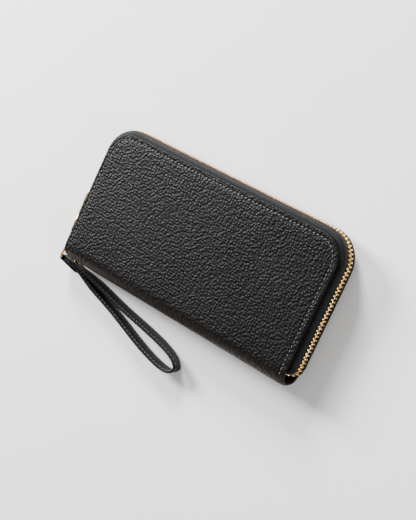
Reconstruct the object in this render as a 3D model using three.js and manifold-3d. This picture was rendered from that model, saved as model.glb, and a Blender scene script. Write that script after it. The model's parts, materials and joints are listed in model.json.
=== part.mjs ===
// A zip-around wristlet wallet, closed and lying on its back cover.
//
// Millimetres. +X runs along the wallet to its right end, +Y from the wrapped spine to the
// long zip side, +Z up from the back cover to the front cover. The origin is the middle of
// the face that the wallet lies on.
//
// The covers, linings, pockets and zip tapes are alike on both halves. Each is made once for
// the back half and used again for the front half, turned over about the wallet's mid plane.

import * as THREE from 'three';
import { mergeVertices } from 'three/addons/utils/BufferGeometryUtils.js';
import Module from 'manifold-3d';

const wasm = await Module();
wasm.setup();

// ---- driving dimensions ---------------------------------------------------------------

// The closed wallet.
const coverLength = 193.2;
const coverWidth = 96.2; // outermost line of the spine to the zip-side edge
const thickness = 21;
const cornerRadius = 17; // zip-side corners of the covers
const spineCornerRadius = 4; // ends of the spine, in plan

// Sheet goods.
const gap = 0.3; // between neighbouring pieces
const leather = 0.9;
const edgeDepth = 2.4; // turned leather edge of a cover
const board = 0.6;
const lining = 0.4;
const pocketSheet = 0.35;
const gussetSheet = 0.5;
const liningInset = 6; // from the cover's edge
const hingeAngle = Math.PI / 4; // where the spine's leather meets a cover's, from mid height
const hingeGap = 0.8;

// Slip pocket and card slots on each lining.
const slipPocketInset = 15; // its open edge, from the cover's zip-side edge
const slotColumnInset = 7;
const slotGutter = 3; // between the two columns of card slots
const slotCount = 3;
const rearSlotInset = 22; // open edge of the rear slot, from the cover's zip-side edge
const slotPitch = 13;
const slotOverlap = 5;
const pocketFoot = 3; // lowest pocket seam, inside the spine's bend

// Main zip, a number five metal chain.
const chainWidth = 5.9;
const chainDepth = 2.5;
const toothPitch = 2.6;
const toothWidth = 0.8;
const toothMesh = 0.6; // how far a tooth's head passes the mid plane
const toothRoot = 1.75; // jaws that clamp the tape
const chainOutsetEnd = 2.7; // chain's middle beyond the cover's short edges
const chainOutsetLong = 3.6; // and beyond its long edge
const chainCornerRadius = 20;
const tape = 0.5;
const tapeReach = 8.3; // sewn part, inwards from the chain
const tapeTail = 2.6; // the same where the tape tucks in
const tuckRadius = 5;
const tuckRun = 2.4;
const tuckRight = 8.3; // height of the tucked end above the spine line
const tuckLeft = 12.5;
const rowStartLeft = 22.6; // first teeth, inside the parked slider
const stopLength = 2.2;

// Main slider and its pull.
const sliderStart = 17.7;
const sliderLength = 11.5;
const sliderWidth = 8.8;
const sliderPlate = 1.0;
const postWidth = 1.8;
const postLength = 2.5;
const bridgeWidth = 1.6;
const bridgeRise = 3.2;
const bridgeWall = 1.2;
const bridgeSpan = 6.6;
const pullLength = 26;
const pullWidth = 6;
const pullThickness = 1.2;
const pullBar = 1.2;

// Coin pocket between the two compartments, and its coil zip.
const coinHalfGap = 1.0; // mid plane to each panel
const coinPanelInset = 12;
const coinPanelTop = 70;
const coilWidth = 1.6;
const coilDepth = 1.4;
const coilGap = 0.5; // mid plane to each coil
const coilLift = 4.7; // above the panels' top edge
const coinTape = 0.3;
const coinZipInset = 16.6; // zip's ends, from the cover's short edges
const coinSliderLength = 7;
const coinSliderWidth = 5.2;
const coinSliderPlate = 0.7;
const coinPullLength = 13;
const coinPullWidth = 4;
const coinPullThickness = 0.9;

// Gussets, one pleat each side of the coin pocket.
const gussetTop = 69;
const pleatDepth = 14;

// Ring, its tab and the strap.
const ringWire = 1.6;
const ringPlay = 0.5; // above and below the strap
const ringLift = 0.2; // ring's lower arm off the table
const barOut = 4; // ring's bar beyond the cover's end
const barAbove = 6.2; // and above the spine line
const ringReach = new THREE.Vector2(-0.6, -8.4); // from the bar to the apex
const tabRise = 5.9; // tab's lower edge, below mid height
const tabPlay = 0.8; // tab's upper edge, below the ring's upper arm
const tabLeather = 0.8;
const tabInside = 10.6; // tab's sewn end, from the cover's end
const strapWidth = 10;
const strapThickness = 1.6;
const skivedThickness = 0.9; // the strap's end that turns round the ring
const strapHeading = -0.2; // radians, of the strap as it leaves the ring
const foldLength = 16;
const rivetAlong = 9.5; // from the ring, along the folded end
const rivetPost = 1.0;
const rivetHead = 2.2;
const rivetCap = 0.6;

// The strap's loop on the table, from the outer strand round the far bend to the inner one:
// plan place from the ring's apex, lift off the table, and lean of its top edge towards the
// outside of the loop, in degrees.
const strapLoop = [
  [32.2, -9, 0.7, -5], [44.2, -12.4, 0.2, -8], [57.8, -16.2, 0, -9], [72.1, -20.9, 0, -9],
  [85.9, -25.3, 0, -9], [98.9, -28.6, 0, -9], [109.8, -30.1, 0, -10], [115.8, -29.2, 0, -10],
  [118.4, -26.2, 0, -9], [116.2, -22.8, 0, -4], [109.8, -19.3, 0, 4], [98.6, -16.1, 0, 9],
  [88.2, -14.1, 0, 11], [78.2, -12.5, 0, 12], [68.2, -11, 0, 12], [57.5, -9.2, 0, 12],
  [46.2, -6.9, 0.2, 12], [33.2, -4.2, 0.6, 9],
];

// ---- sizes that follow ----------------------------------------------------------------

const halfLength = coverLength / 2;
const middle = thickness / 2;
const bend = thickness / 2; // radius of the spine's bend
const boardDepth = leather + gap;
const liningDepth = boardDepth + board + gap;
const slipDepth = liningDepth + lining + gap;
const slotDepth = slipDepth + pocketSheet + gap;
const tapeDepth = edgeDepth + gap + tape / 2 + 0.1;
const rowDepth = middle - chainWidth / 2;
const chainX = halfLength + chainOutsetEnd;
const chainY = coverWidth + chainOutsetLong;
const ringHeight = strapWidth + 2 * ringPlay + ringWire; // between the middles of its two arms
const ringMidHeight = ringHeight / 2 + ringWire / 2 + ringLift;
const ringBar = new THREE.Vector2(-halfLength - barOut, barAbove);
const ringApex = new THREE.Vector2().addVectors(ringBar, ringReach);
const tabLow = middle - tabRise;
const tabHigh = ringMidHeight + ringHeight / 2 - ringWire / 2 - tabPlay;
const quarter = Math.PI / 2;

// ---- shaping helpers ------------------------------------------------------------------

// Joins the corners that faces share, so that a geometry is one closed surface.
function weld(geometry) {
  const bare = geometry.clone();
  bare.deleteAttribute('normal');
  bare.deleteAttribute('uv');
  return mergeVertices(bare, 1e-5);
}

function signedVolume(geometry) {
  const points = geometry.attributes.position;
  const corner = (n) => new THREE.Vector3().fromBufferAttribute(points, geometry.index.getX(n));
  let volume = 0;
  for (let n = 0; n < geometry.index.count; n += 3) {
    volume += corner(n).dot(corner(n + 1).cross(corner(n + 2))) / 6;
  }
  return volume;
}

// Turns a bent geometry's faces outwards where the bending left them inside out.
function faceOut(geometry) {
  const welded = weld(geometry);
  if (signedVolume(welded) > 0) return welded;
  const index = welded.index;
  for (let n = 0; n < index.count; n += 3) {
    const swap = index.getX(n);
    index.setX(n, index.getX(n + 1));
    index.setX(n + 1, swap);
  }
  return welded;
}

function toSolid(geometry) {
  const welded = faceOut(geometry);
  return new wasm.Manifold(new wasm.Mesh({
    numProp: 3,
    vertProperties: new Float32Array(welded.attributes.position.array),
    triVerts: new Uint32Array(welded.index.array),
  }));
}

function toGeometry(body) {
  const mesh = body.getMesh();
  const geometry = new THREE.BufferGeometry();
  geometry.setAttribute('position', new THREE.BufferAttribute(mesh.vertProperties, 3));
  geometry.setIndex(new THREE.BufferAttribute(mesh.triVerts, 1));
  geometry.computeVertexNormals();
  return geometry;
}

const join = (first, ...others) => others.reduce((sum, body) => sum.add(body), first);

function box(from, to) {
  const size = new THREE.Vector3().subVectors(to, from);
  const geometry = new THREE.BoxGeometry(size.x, size.y, size.z);
  return geometry.translate(...new THREE.Vector3().addVectors(from, to).multiplyScalar(0.5));
}

const at = (x, y, z) => new THREE.Vector3(x, y, z);

// A plan outline raised from one height to another.
function raise(shape, low, high, curveSegments = 6) {
  const geometry = new THREE.ExtrudeGeometry(shape, {
    depth: high - low, bevelEnabled: false, curveSegments,
  });
  return geometry.translate(0, 0, low);
}

// A section drawn in Y and Z, run along X.
function runAlongX(section, half, curveSegments = 6) {
  const geometry = new THREE.ExtrudeGeometry(section, {
    depth: 2 * half, bevelEnabled: false, curveSegments,
  });
  geometry.translate(0, 0, -half);
  return geometry.applyMatrix4(new THREE.Matrix4().makeBasis(at(0, 1, 0), at(0, 0, 1), at(1, 0, 0)));
}

// A plan outline with rounded corners on the zip side and at the ends of the spine.
function planOutline(right, far, round, spineSide, spineRadius) {
  const shape = new THREE.Shape();
  shape.moveTo(-right + spineRadius, spineSide);
  shape.lineTo(right - spineRadius, spineSide);
  if (spineRadius > 0) {
    shape.absarc(right - spineRadius, spineSide + spineRadius, spineRadius, -quarter, 0, false);
  }
  shape.lineTo(right, far - round);
  shape.absarc(right - round, far - round, round, 0, quarter, false);
  shape.lineTo(-right + round, far);
  shape.absarc(-right + round, far - round, round, quarter, 2 * quarter, false);
  if (spineRadius > 0) {
    shape.lineTo(-right, spineSide + spineRadius);
    shape.absarc(-right + spineRadius, spineSide + spineRadius, spineRadius, Math.PI, 3 * quarter, false);
  } else {
    shape.lineTo(-right, spineSide);
  }
  return shape;
}

// The outline of a cover, inset on its three zipped sides only.
function coverOutline(inset, spineSide, spineRadius) {
  const round = Math.max(cornerRadius - inset, 1);
  return planOutline(halfLength - inset, coverWidth - inset, round, spineSide, spineRadius);
}

// The section of a layer of the back cover, from its zip-side edge round the bend to the
// hinge line, between two depths below the outer face.
function coverSection(outer, inner) {
  const end = -quarter - hingeAngle + hingeGap / 2 / (bend - outer);
  const shape = new THREE.Shape();
  shape.moveTo(coverWidth, outer);
  shape.lineTo(bend, outer);
  shape.absarc(bend, bend, bend - outer, -quarter, end, true);
  shape.absarc(bend, bend, bend - inner, end, -quarter, false);
  shape.lineTo(coverWidth, inner);
  return shape;
}

// The section of a layer of the spine, between the two hinge lines.
function spineSection(outer, inner) {
  const half = quarter - hingeAngle - hingeGap / 2 / (bend - outer);
  const shape = new THREE.Shape();
  shape.absarc(bend, bend, bend - outer, Math.PI + half, Math.PI - half, true);
  shape.absarc(bend, bend, bend - inner, Math.PI - half, Math.PI + half, false);
  return shape;
}

// ---- routes and swept pieces ----------------------------------------------------------

// A place on a plan route of straight runs and right-hand turns.
function placeOn(route, distance) {
  let { x, y, heading } = route.start;
  let left = distance;
  for (const move of route.moves) {
    const walked = Math.min(left, move.length);
    if (move.radius) {
      const centreX = x + move.radius * Math.sin(heading);
      const centreY = y - move.radius * Math.cos(heading);
      heading -= walked / move.radius;
      x = centreX - move.radius * Math.sin(heading);
      y = centreY + move.radius * Math.cos(heading);
    } else {
      x += walked * Math.cos(heading);
      y += walked * Math.sin(heading);
    }
    left -= walked;
    if (left < 1e-9) break;
  }
  return { x, y, heading, outX: -Math.sin(heading), outY: Math.cos(heading), distance };
}

// Places along a route between two distances: at the ends, at each change of move, and at
// equal steps round the turns.
function placesOn(route, from, to, stepsPerTurn, extra = []) {
  const distances = [from, to, ...extra];
  let reached = 0;
  for (const move of route.moves) {
    const steps = move.radius ? stepsPerTurn : 1;
    for (let step = 0; step <= steps; step += 1) distances.push(reached + move.length * step / steps);
    reached += move.length;
  }
  const kept = distances.filter((d) => d >= from && d <= to).sort((a, b) => a - b);
  return kept.filter((d, n) => n === 0 || d - kept[n - 1] > 0.05).map((d) => placeOn(route, d));
}

const straight = (length) => ({ length });
const turn = (radius, angle = quarter) => ({ radius, length: radius * angle });

// The zip chain's route round the three open sides, with its two ends tucked in at the spine.
function zipRoute(leftEnd, rightEnd) {
  const up = chainY - chainCornerRadius;
  const moves = [
    straight(tuckRun), turn(tuckRadius), straight(up - leftEnd - tuckRadius),
    turn(chainCornerRadius), straight(2 * (chainX - chainCornerRadius)), turn(chainCornerRadius),
    straight(up - rightEnd - tuckRadius), turn(tuckRadius), straight(tuckRun),
  ];
  const start = { x: -chainX + tuckRadius + tuckRun, y: leftEnd, heading: Math.PI };
  const length = moves.reduce((sum, move) => sum + move.length, 0);
  const sideStart = moves[0].length + moves[1].length;
  const crown = sideStart + moves[2].length + moves[3].length + moves[4].length / 2;
  return { start, moves, length, leftEnd, sideStart, crown };
}

// A sheet swept along a route. The profile gives its middle line at each place, as pairs of
// distance outwards from the route and height.
function sweptSheet(places, profileAt, sheet) {
  const across = profileAt(places[0]).length - 1;
  const along = places.length - 1;
  const geometry = new THREE.BoxGeometry(across, 1, along, across, 1, along);
  geometry.translate(across / 2, 0, along / 2);
  const points = geometry.attributes.position;
  for (let n = 0; n < points.count; n += 1) {
    const column = Math.round(points.getX(n));
    const place = places[Math.round(points.getZ(n))];
    const profile = profileAt(place);
    const before = profile[Math.max(column - 1, 0)];
    const after = profile[Math.min(column + 1, across)];
    const normal = new THREE.Vector2(before[1] - after[1], after[0] - before[0]).normalize();
    const shift = Math.sign(points.getY(n)) * sheet / 2;
    const out = profile[column][0] + normal.x * shift;
    const height = profile[column][1] + normal.y * shift;
    points.setXYZ(n, place.x + place.outX * out, place.y + place.outY * out, height);
  }
  return faceOut(geometry);
}

// ---- the two covers -------------------------------------------------------------------

// Leather turned over the board: a thin face, and a deep edge on the three zipped sides.
function wrappedLeather(section) {
  const outline = toSolid(raise(coverOutline(0, 0, spineCornerRadius), -1, thickness + 1));
  const inside = toSolid(raise(coverOutline(leather, -1, 0), -2, thickness + 2));
  const face = toSolid(runAlongX(section(0, leather), halfLength)).intersect(outline);
  const deep = toSolid(runAlongX(section(0, edgeDepth), halfLength)).intersect(outline);
  return toGeometry(face.add(deep.subtract(inside)));
}

const coverLeather = wrappedLeather(coverSection);
const spineLeather = wrappedLeather(spineSection);

const coverBoard = raise(coverOutline(leather + gap, bend + 1, 0), boardDepth, boardDepth + board);

const liningPlan = toSolid(raise(coverOutline(liningInset, -1, 0), -1, thickness + 1));
function wrappedLining(section) {
  const layer = toSolid(runAlongX(section(liningDepth, liningDepth + lining), halfLength));
  return toGeometry(layer.intersect(liningPlan));
}
const coverLining = wrappedLining(coverSection);
const spineLining = wrappedLining(spineSection);

// The slip pocket is trimmed to lie inside the zip tape.
const slipPocketBox = box(
  at(-halfLength + liningInset, bend + pocketFoot / 2, slipDepth),
  at(halfLength - liningInset, coverWidth - slipPocketInset, slipDepth + pocketSheet),
);
const inTape = tapeReach + gap;
const insideTape = raise(
  planOutline(chainX - inTape, chainY - inTape, Math.max(chainCornerRadius - inTape, 1), -1, 0),
  -1, thickness + 1,
);
const slipPocket = toGeometry(toSolid(slipPocketBox).intersect(toSolid(insideTape)));

// One card slot of a column. It rises from its foot, so that its open edge lies over the
// foot of the slot behind.
function cardSlot(column, row) {
  const open = coverWidth - rearSlotInset - row * slotPitch;
  const front = row === slotCount - 1;
  const foot = front ? bend + pocketFoot : open - slotPitch - slotOverlap;
  const climbTo = open - slotOverlap;
  const rise = pocketSheet + gap;
  const width = halfLength - slotColumnInset - slotGutter / 2;
  const geometry = new THREE.BoxGeometry(width, open - foot, pocketSheet);
  geometry.translate(0, (open - foot) / 2, pocketSheet / 2);
  geometry.rotateX(Math.atan(rise / (climbTo - foot)));
  return geometry.translate(column * (slotGutter + width) / 2, foot, slotDepth);
}

// ---- the main zip ---------------------------------------------------------------------

// The tape's flat part is sewn under the cover's edge. It then bends up into the chain.
function zipTape(route) {
  const easing = 8; // length over which the sewn part narrows before the tucked end
  const profileAt = (place) => {
    const fromEnd = Math.min(place.distance, route.length - place.distance);
    const open = THREE.MathUtils.clamp((fromEnd - route.sideStart) / easing, 0, 1);
    const reach = THREE.MathUtils.lerp(tapeTail, tapeReach, open);
    const flat = THREE.MathUtils.lerp(tapeDepth + 1, tapeDepth, Math.min(4 * open, 1));
    return [[-reach, flat], [-2.2, flat], [-0.7, flat + 0.5], [0, flat + 1.8], [0, rowDepth - gap]];
  };
  const ends = [easing, easing / 4].flatMap((reached) => (
    [route.sideStart + reached, route.length - route.sideStart - reached]
  ));
  return sweptSheet(placesOn(route, 0, route.length, 6, ends), profileAt, tape);
}

// A row of teeth on a common root. Rows of the two halves mesh half a pitch apart.
function zipTeeth(route, from, to) {
  const rootProfile = () => [[0, rowDepth], [0, rowDepth + toothRoot]];
  let row = toSolid(sweptSheet(placesOn(route, from, to, 8), rootProfile, chainDepth));
  const tip = middle + toothMesh;
  const root = rowDepth + toothRoot - 0.3;
  const first = Math.ceil((from - route.crown) / toothPitch - 0.25);
  for (let n = first; ; n += 1) {
    const distance = route.crown + (n + 0.25) * toothPitch;
    if (distance > to - toothWidth) break;
    if (distance < from + toothWidth) continue;
    const place = placeOn(route, distance);
    const tooth = new THREE.BoxGeometry(toothWidth, chainDepth - 0.3, tip - root);
    tooth.rotateZ(place.heading);
    row = row.add(toSolid(tooth.translate(place.x, place.y, (root + tip) / 2)));
  }
  return toGeometry(row);
}

// A small metal stop clamped on one tape.
function tapeStop(route, distance) {
  const place = placeOn(route, distance);
  const stop = new THREE.BoxGeometry(stopLength, chainDepth + 0.3, chainWidth / 2 - gap);
  stop.rotateZ(place.heading);
  return stop.translate(place.x, place.y, rowDepth + (chainWidth / 2 - gap) / 2);
}

// ---- placing --------------------------------------------------------------------------

const blackLeather = { color: 0x1d1d1f, roughness: 0.6, metalness: 0 };
const blackLining = { color: 0x18181a, roughness: 0.85, metalness: 0 };
const blackTape = { color: 0x161618, roughness: 0.9, metalness: 0 };
const greyBoard = { color: 0x8a8378, roughness: 0.95, metalness: 0 };
const goldMetal = { color: 0xd8ab68, roughness: 0.3, metalness: 1 };

const wallet = new THREE.Group();
const backHalf = new THREE.Group();
const frontHalf = new THREE.Group();
frontHalf.rotation.y = Math.PI;
frontHalf.position.z = thickness;
wallet.add(backHalf, frontHalf);
wallet.position.y = -coverWidth / 2;

function add(parent, name, geometry, finish) {
  const mesh = new THREE.Mesh(geometry, new THREE.MeshStandardMaterial(finish));
  mesh.name = name;
  parent.add(mesh);
  return mesh;
}

// Both halves, layer by layer. Turning the front half over swaps its left and right.
const backRoute = zipRoute(tuckLeft, tuckRight);
const frontRoute = zipRoute(tuckRight, tuckLeft);
const rowEnd = stopLength + gap;
const slotSides = { left: -1, right: 1 };
for (const half of ['back', 'front']) {
  const group = half === 'back' ? backHalf : frontHalf;
  const sign = half === 'back' ? 1 : -1;
  const route = half === 'back' ? backRoute : frontRoute;
  add(group, `${half}_cover_leather`, coverLeather, blackLeather);
  add(group, `${half}_cover_board`, coverBoard, greyBoard);
  add(group, `${half}_cover_lining`, coverLining, blackLining);
  add(group, `${half}_slip_pocket`, slipPocket, blackLining);
  for (const [side, direction] of Object.entries(slotSides)) {
    for (let row = 0; row < slotCount; row += 1) {
      add(group, `${half}_card_slot_${side}_${row + 1}`, cardSlot(sign * direction, row), blackLeather);
    }
  }
  add(group, `${half}_zip_tape`, zipTape(route), blackTape);
  const parked = route.sideStart + rowStartLeft - tuckLeft - tuckRadius;
  const parkedBack = backRoute.sideStart + rowStartLeft - tuckLeft - tuckRadius;
  const from = half === 'back' ? parked : rowEnd;
  const to = half === 'back' ? route.length - rowEnd : route.length - parkedBack;
  add(group, `${half}_zip_teeth`, zipTeeth(route, from, to), goldMetal);
  const beside = backRoute.sideStart - stopLength / 2 - gap;
  const stopAt = half === 'back' ? beside : route.length - beside;
  add(group, `${half}_zip_top_stop`, tapeStop(route, stopAt), goldMetal);
}

// The bottom stop holds both tapes together where the closed chain ends.
const lastPlace = placeOn(backRoute, backRoute.length - stopLength / 2);
const bottomStop = new THREE.BoxGeometry(stopLength, chainDepth + 0.3, chainWidth);
bottomStop.rotateZ(lastPlace.heading);
bottomStop.translate(lastPlace.x, lastPlace.y, middle);
add(wallet, 'zip_bottom_stop', bottomStop, goldMetal);

add(wallet, 'spine_leather', spineLeather, blackLeather);
add(wallet, 'spine_lining', spineLining, blackLining);

// ---- gussets --------------------------------------------------------------------------

// Half a gusset: sewn to the lining, pleated inwards, and sewn to the coin pocket.
function gussetHalf() {
  const low = tuckLeft + tapeTail + 1;
  const places = [low, gussetTop].map((y) => ({ x: -halfLength, y, outX: 1, outY: 0 }));
  const foot = tapeDepth + tape / 2 + gap + gussetSheet / 2;
  const panel = middle - coinHalfGap - 0.4 - gap - gussetSheet / 2;
  const fold = slotColumnInset - 0.4 + pleatDepth;
  const foldHeight = (foot + panel) / 2 + 0.7;
  const profile = [
    [2.5, foot + 0.05], [liningInset - 0.8, foot + 0.05], [slotColumnInset - 0.4, foot + 1.4],
    [fold - 0.9, foldHeight - 0.5], [fold, foldHeight], [fold - 0.9, foldHeight + 0.5],
    [coinPanelInset - 1, panel - 0.05], [coinPanelInset + 2.5, panel],
  ];
  return sweptSheet(places, () => profile, gussetSheet);
}

// The same half gusset on the other end, mirrored.
function mirrored(geometry) {
  return faceOut(geometry.clone().scale(-1, 1, 1));
}

const gusset = gussetHalf();
add(backHalf, 'gusset_left_back', gusset, blackLining);
add(backHalf, 'gusset_right_back', mirrored(gusset), blackLining);
add(frontHalf, 'gusset_right_front', gusset, blackLining);
add(frontHalf, 'gusset_left_front', mirrored(gusset), blackLining);

// ---- coin pocket ----------------------------------------------------------------------

const coinSheet = 0.4;
const coinHalf = halfLength - coinPanelInset;
const coinPanel = box(
  at(-coinHalf, bend + 2, middle - coinHalfGap - coinSheet),
  at(coinHalf, coinPanelTop, middle - coinHalfGap),
);
add(backHalf, 'coin_pocket_back_panel', coinPanel, blackLeather);
add(frontHalf, 'coin_pocket_front_panel', coinPanel, blackLeather);

// Each coin zip tape rises from inside its panel, spreads round the slider and carries its
// coil. Depths are measured from the outer face of the back half, so the mid plane is deepest.
const coilY = coinPanelTop + coilLift;
const coinZipHalf = halfLength - coinZipInset;
function coinZipTape() {
  const places = [-coinZipHalf, coinZipHalf].map((x) => ({ x, y: 0, outX: 0, outY: 1 }));
  const inner = middle - coinHalfGap + gap + coinTape / 2;
  const spread = coinSliderWidth / 2 + gap + coinTape / 2;
  const profile = [
    [coinPanelTop - 4, inner], [coinPanelTop + 0.5, inner], [coinPanelTop + 2.5, middle - spread],
    [coilY + 0.3, middle - spread], [coilY + 0.8, middle - coilGap - coilWidth - gap - 0.1],
  ];
  return sweptSheet(places, () => profile, coinTape);
}
const coil = box(
  at(-coinZipHalf, coilY, middle - coilGap - coilWidth),
  at(coinZipHalf, coilY + coilDepth, middle - coilGap),
);
for (const [half, group] of [['back', backHalf], ['front', frontHalf]]) {
  add(group, `coin_zip_tape_${half}`, coinZipTape(), blackTape);
  add(group, `coin_zip_coil_${half}`, coil, goldMetal);
}
for (const [side, direction] of Object.entries(slotSides)) {
  const end = box(
    at(-stopLength / 2, coilY - 0.2, middle - coilGap - coilWidth),
    at(stopLength / 2, coilY + coilDepth + 0.2, middle + coilGap + coilWidth),
  );
  end.translate(direction * (coinZipHalf + gap + stopLength / 2), 0, 0);
  add(wallet, `coin_zip_stop_${side}`, end, goldMetal);
}

// ---- sliders and pulls ----------------------------------------------------------------

// A zip slider in its own frame: it slides along X, its chain is in the XY plane, and its
// bridge is on +Z. The post stands at the end that leads as the zip closes.
function sliderBody(size) {
  const { length, width, plate, channel, post, postRun, bridge } = size;
  const low = channel / 2;
  const plates = [1, -1].map((side) => box(
    at(-length / 2, -width / 2, side > 0 ? low : -low - plate),
    at(length / 2, width / 2, side > 0 ? low + plate : -low),
  ));
  const pillar = box(
    at(-length / 2 + 0.5, -post / 2, -low - plate / 2),
    at(-length / 2 + 0.5 + postRun, post / 2, low + plate / 2),
  );
  const top = low + plate;
  const arch = box(
    at(-bridge.span / 2, -bridge.width / 2, top - plate / 2),
    at(bridge.span / 2, bridge.width / 2, top + bridge.rise),
  );
  const eye = box(
    at(-bridge.span / 2 + bridge.wall, -bridge.width, top),
    at(bridge.span / 2 - bridge.wall, bridge.width, top + bridge.rise - bridge.wall),
  );
  const loop = toSolid(arch).subtract(toSolid(eye));
  return toGeometry(join(toSolid(plates[0]), toSolid(plates[1]), toSolid(pillar), loop));
}

// A flat pull with a window that clears the bridge. Its bar is at the origin, along Y, and
// the pull lies towards +X.
function pullTab(length, width, sheet, bar, windowWidth, windowLength) {
  const outline = new THREE.Shape();
  const nose = width / 2;
  outline.moveTo(-bar / 2, -width / 2);
  outline.lineTo(length - nose, -width / 2);
  outline.absarc(length - nose, 0, nose, -quarter, quarter, false);
  outline.lineTo(-bar / 2, width / 2);
  const window = new THREE.Path();
  window.moveTo(bar / 2, -windowWidth / 2);
  window.lineTo(bar / 2, windowWidth / 2);
  window.lineTo(bar / 2 + windowLength, windowWidth / 2);
  window.lineTo(bar / 2 + windowLength, -windowWidth / 2);
  outline.holes.push(window);
  return raise(outline, -sheet / 2, sheet / 2);
}

// Stands a slider or pull on the left end of the main zip: its X along +Y, its Z outwards.
const onLeftEnd = new THREE.Matrix4().makeBasis(at(0, 1, 0), at(0, 0, -1), at(-1, 0, 0));

const channel = chainDepth + 2 * gap;
const mainBridge = { span: bridgeSpan, width: bridgeWidth, rise: bridgeRise, wall: bridgeWall };
const sliderMiddle = sliderStart + sliderLength / 2;
const slider = sliderBody({
  length: sliderLength, width: sliderWidth, plate: sliderPlate, channel,
  post: postWidth, postRun: postLength, bridge: mainBridge,
});
slider.applyMatrix4(onLeftEnd).translate(-chainX, sliderMiddle, middle);
add(wallet, 'zip_slider', slider, goldMetal);

const barHeight = channel / 2 + sliderPlate + (bridgeRise - bridgeWall) / 2;
const barAlong = -bridgeSpan / 2 + bridgeWall + gap + pullBar / 2;
const pull = pullTab(
  pullLength, pullWidth, pullThickness, pullBar,
  bridgeWidth + 1, bridgeSpan - bridgeWall + 0.6,
);
pull.applyMatrix4(onLeftEnd);
pull.translate(-chainX - barHeight, sliderMiddle + barAlong, middle);
add(wallet, 'zip_pull', pull, goldMetal);

// The coin zip's slider slides along X with its bridge towards +Y.
const onCoinZip = new THREE.Matrix4().makeBasis(at(1, 0, 0), at(0, 0, -1), at(0, 1, 0));
const coinChannel = coilDepth + 2 * gap;
const coinBridge = { span: 4.8, width: 1.2, rise: 2.6, wall: 0.8 };
const coinSliderX = -coinZipHalf + coinSliderLength / 2 + 1;
const coilMiddle = coilY + coilDepth / 2;
const coinSlider = sliderBody({
  length: coinSliderLength, width: coinSliderWidth, plate: coinSliderPlate, channel: coinChannel,
  post: 2 * (coilGap - gap), postRun: 1.5, bridge: coinBridge,
});
coinSlider.applyMatrix4(onCoinZip).translate(coinSliderX, coilMiddle, middle);
add(wallet, 'coin_zip_slider', coinSlider, goldMetal);

const coinBar = 1.0;
const coinBarHeight = coinChannel / 2 + coinSliderPlate + (coinBridge.rise - coinBridge.wall) / 2;
const coinBarAlong = -coinBridge.span / 2 + coinBridge.wall + gap + coinBar / 2;
const coinPull = pullTab(
  coinPullLength, coinPullWidth, coinPullThickness, coinBar,
  coinBridge.width + 0.8, coinBridge.span - coinBridge.wall + 0.4,
);
coinPull.applyMatrix4(onCoinZip).translate(coinSliderX + coinBarAlong, coilMiddle + coinBarHeight, middle);
add(wallet, 'coin_zip_pull', coinPull, goldMetal);

// ---- ring, tab and strap --------------------------------------------------------------

// The ring is a D on its side: a straight bar in the tab, two arms, and an upright apex that
// the strap turns round.
function ringGeometry() {
  const half = ringHeight / 2;
  const reach = ringBar.distanceTo(ringApex);
  const round = 1.6;
  const wire = new THREE.Shape().absarc(0, 0, ringWire / 2, 0, 4 * quarter, false);
  const bow = new THREE.CurvePath();
  const line = (from, to) => bow.add(new THREE.LineCurve3(at(...from), at(...to)));
  const corner = (...points) => bow.add(new THREE.QuadraticBezierCurve3(...points.map((p) => at(...p))));
  line([0, 0, half], [reach - round, 0, half]);
  corner([reach - round, 0, half], [reach, 0, half], [reach, 0, half - round]);
  line([reach, 0, half - round], [reach, 0, round - half]);
  corner([reach, 0, round - half], [reach, 0, -half], [reach - round, 0, -half]);
  line([reach - round, 0, -half], [0, 0, -half]);
  const arms = new THREE.ExtrudeGeometry(wire, { steps: 40, extrudePath: bow, curveSegments: 5 });
  const bar = new THREE.CylinderGeometry(ringWire / 2, ringWire / 2, ringHeight + ringWire, 10);
  bar.rotateX(quarter);
  const ring = toGeometry(toSolid(arms).add(toSolid(bar)));
  const along = new THREE.Vector2().subVectors(ringApex, ringBar);
  return ring.rotateZ(along.angle()).translate(ringBar.x, ringBar.y, ringMidHeight);
}
add(wallet, 'strap_ring', ringGeometry(), goldMetal);

// A strip of leather folded round the ring's bar and sewn inside the spine.
function ringTab() {
  const hole = ringWire / 2 + gap;
  const eye = hole + tabLeather;
  const shape = new THREE.Shape();
  shape.moveTo(-halfLength + tabInside, ringBar.y - tabLeather);
  shape.lineTo(-halfLength + tabInside, ringBar.y + tabLeather);
  const lap = Math.asin(tabLeather / eye);
  shape.absarc(ringBar.x, ringBar.y, eye, lap, 4 * quarter - lap, false);
  const ringHole = new THREE.Path().absarc(ringBar.x, ringBar.y, hole, 0, 4 * quarter, true);
  shape.holes.push(ringHole);
  return raise(shape, tabLow, tabHigh, 10);
}
add(wallet, 'ring_tab', ringTab(), blackLeather);

// Places along the strap. Its two ends meet at the ring: the end of the outer strand lies in
// the middle, and the inner strand's skived end turns round the ring and covers it.
const strapAxis = new THREE.Vector2(Math.cos(strapHeading), Math.sin(strapHeading));
const strapSide = new THREE.Vector2(-strapAxis.y, strapAxis.x);
function besideRing(along, aside, thick) {
  const drop = 0.06 * Math.max(along - 4, 0);
  const plan = ringApex.clone().addScaledVector(strapAxis, along).addScaledVector(strapSide, aside);
  return { plan, height: ringMidHeight - drop, lean: 0, thick };
}
const layer = strapThickness + gap;
const foldRadius = strapThickness / 2 + gap + skivedThickness / 2;

// Height of the strap's middle when its lower edge lies on the table.
function restingHeight(lean, thick) {
  return (strapWidth * Math.cos(lean) + thick * Math.sin(Math.abs(lean))) / 2;
}

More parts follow.
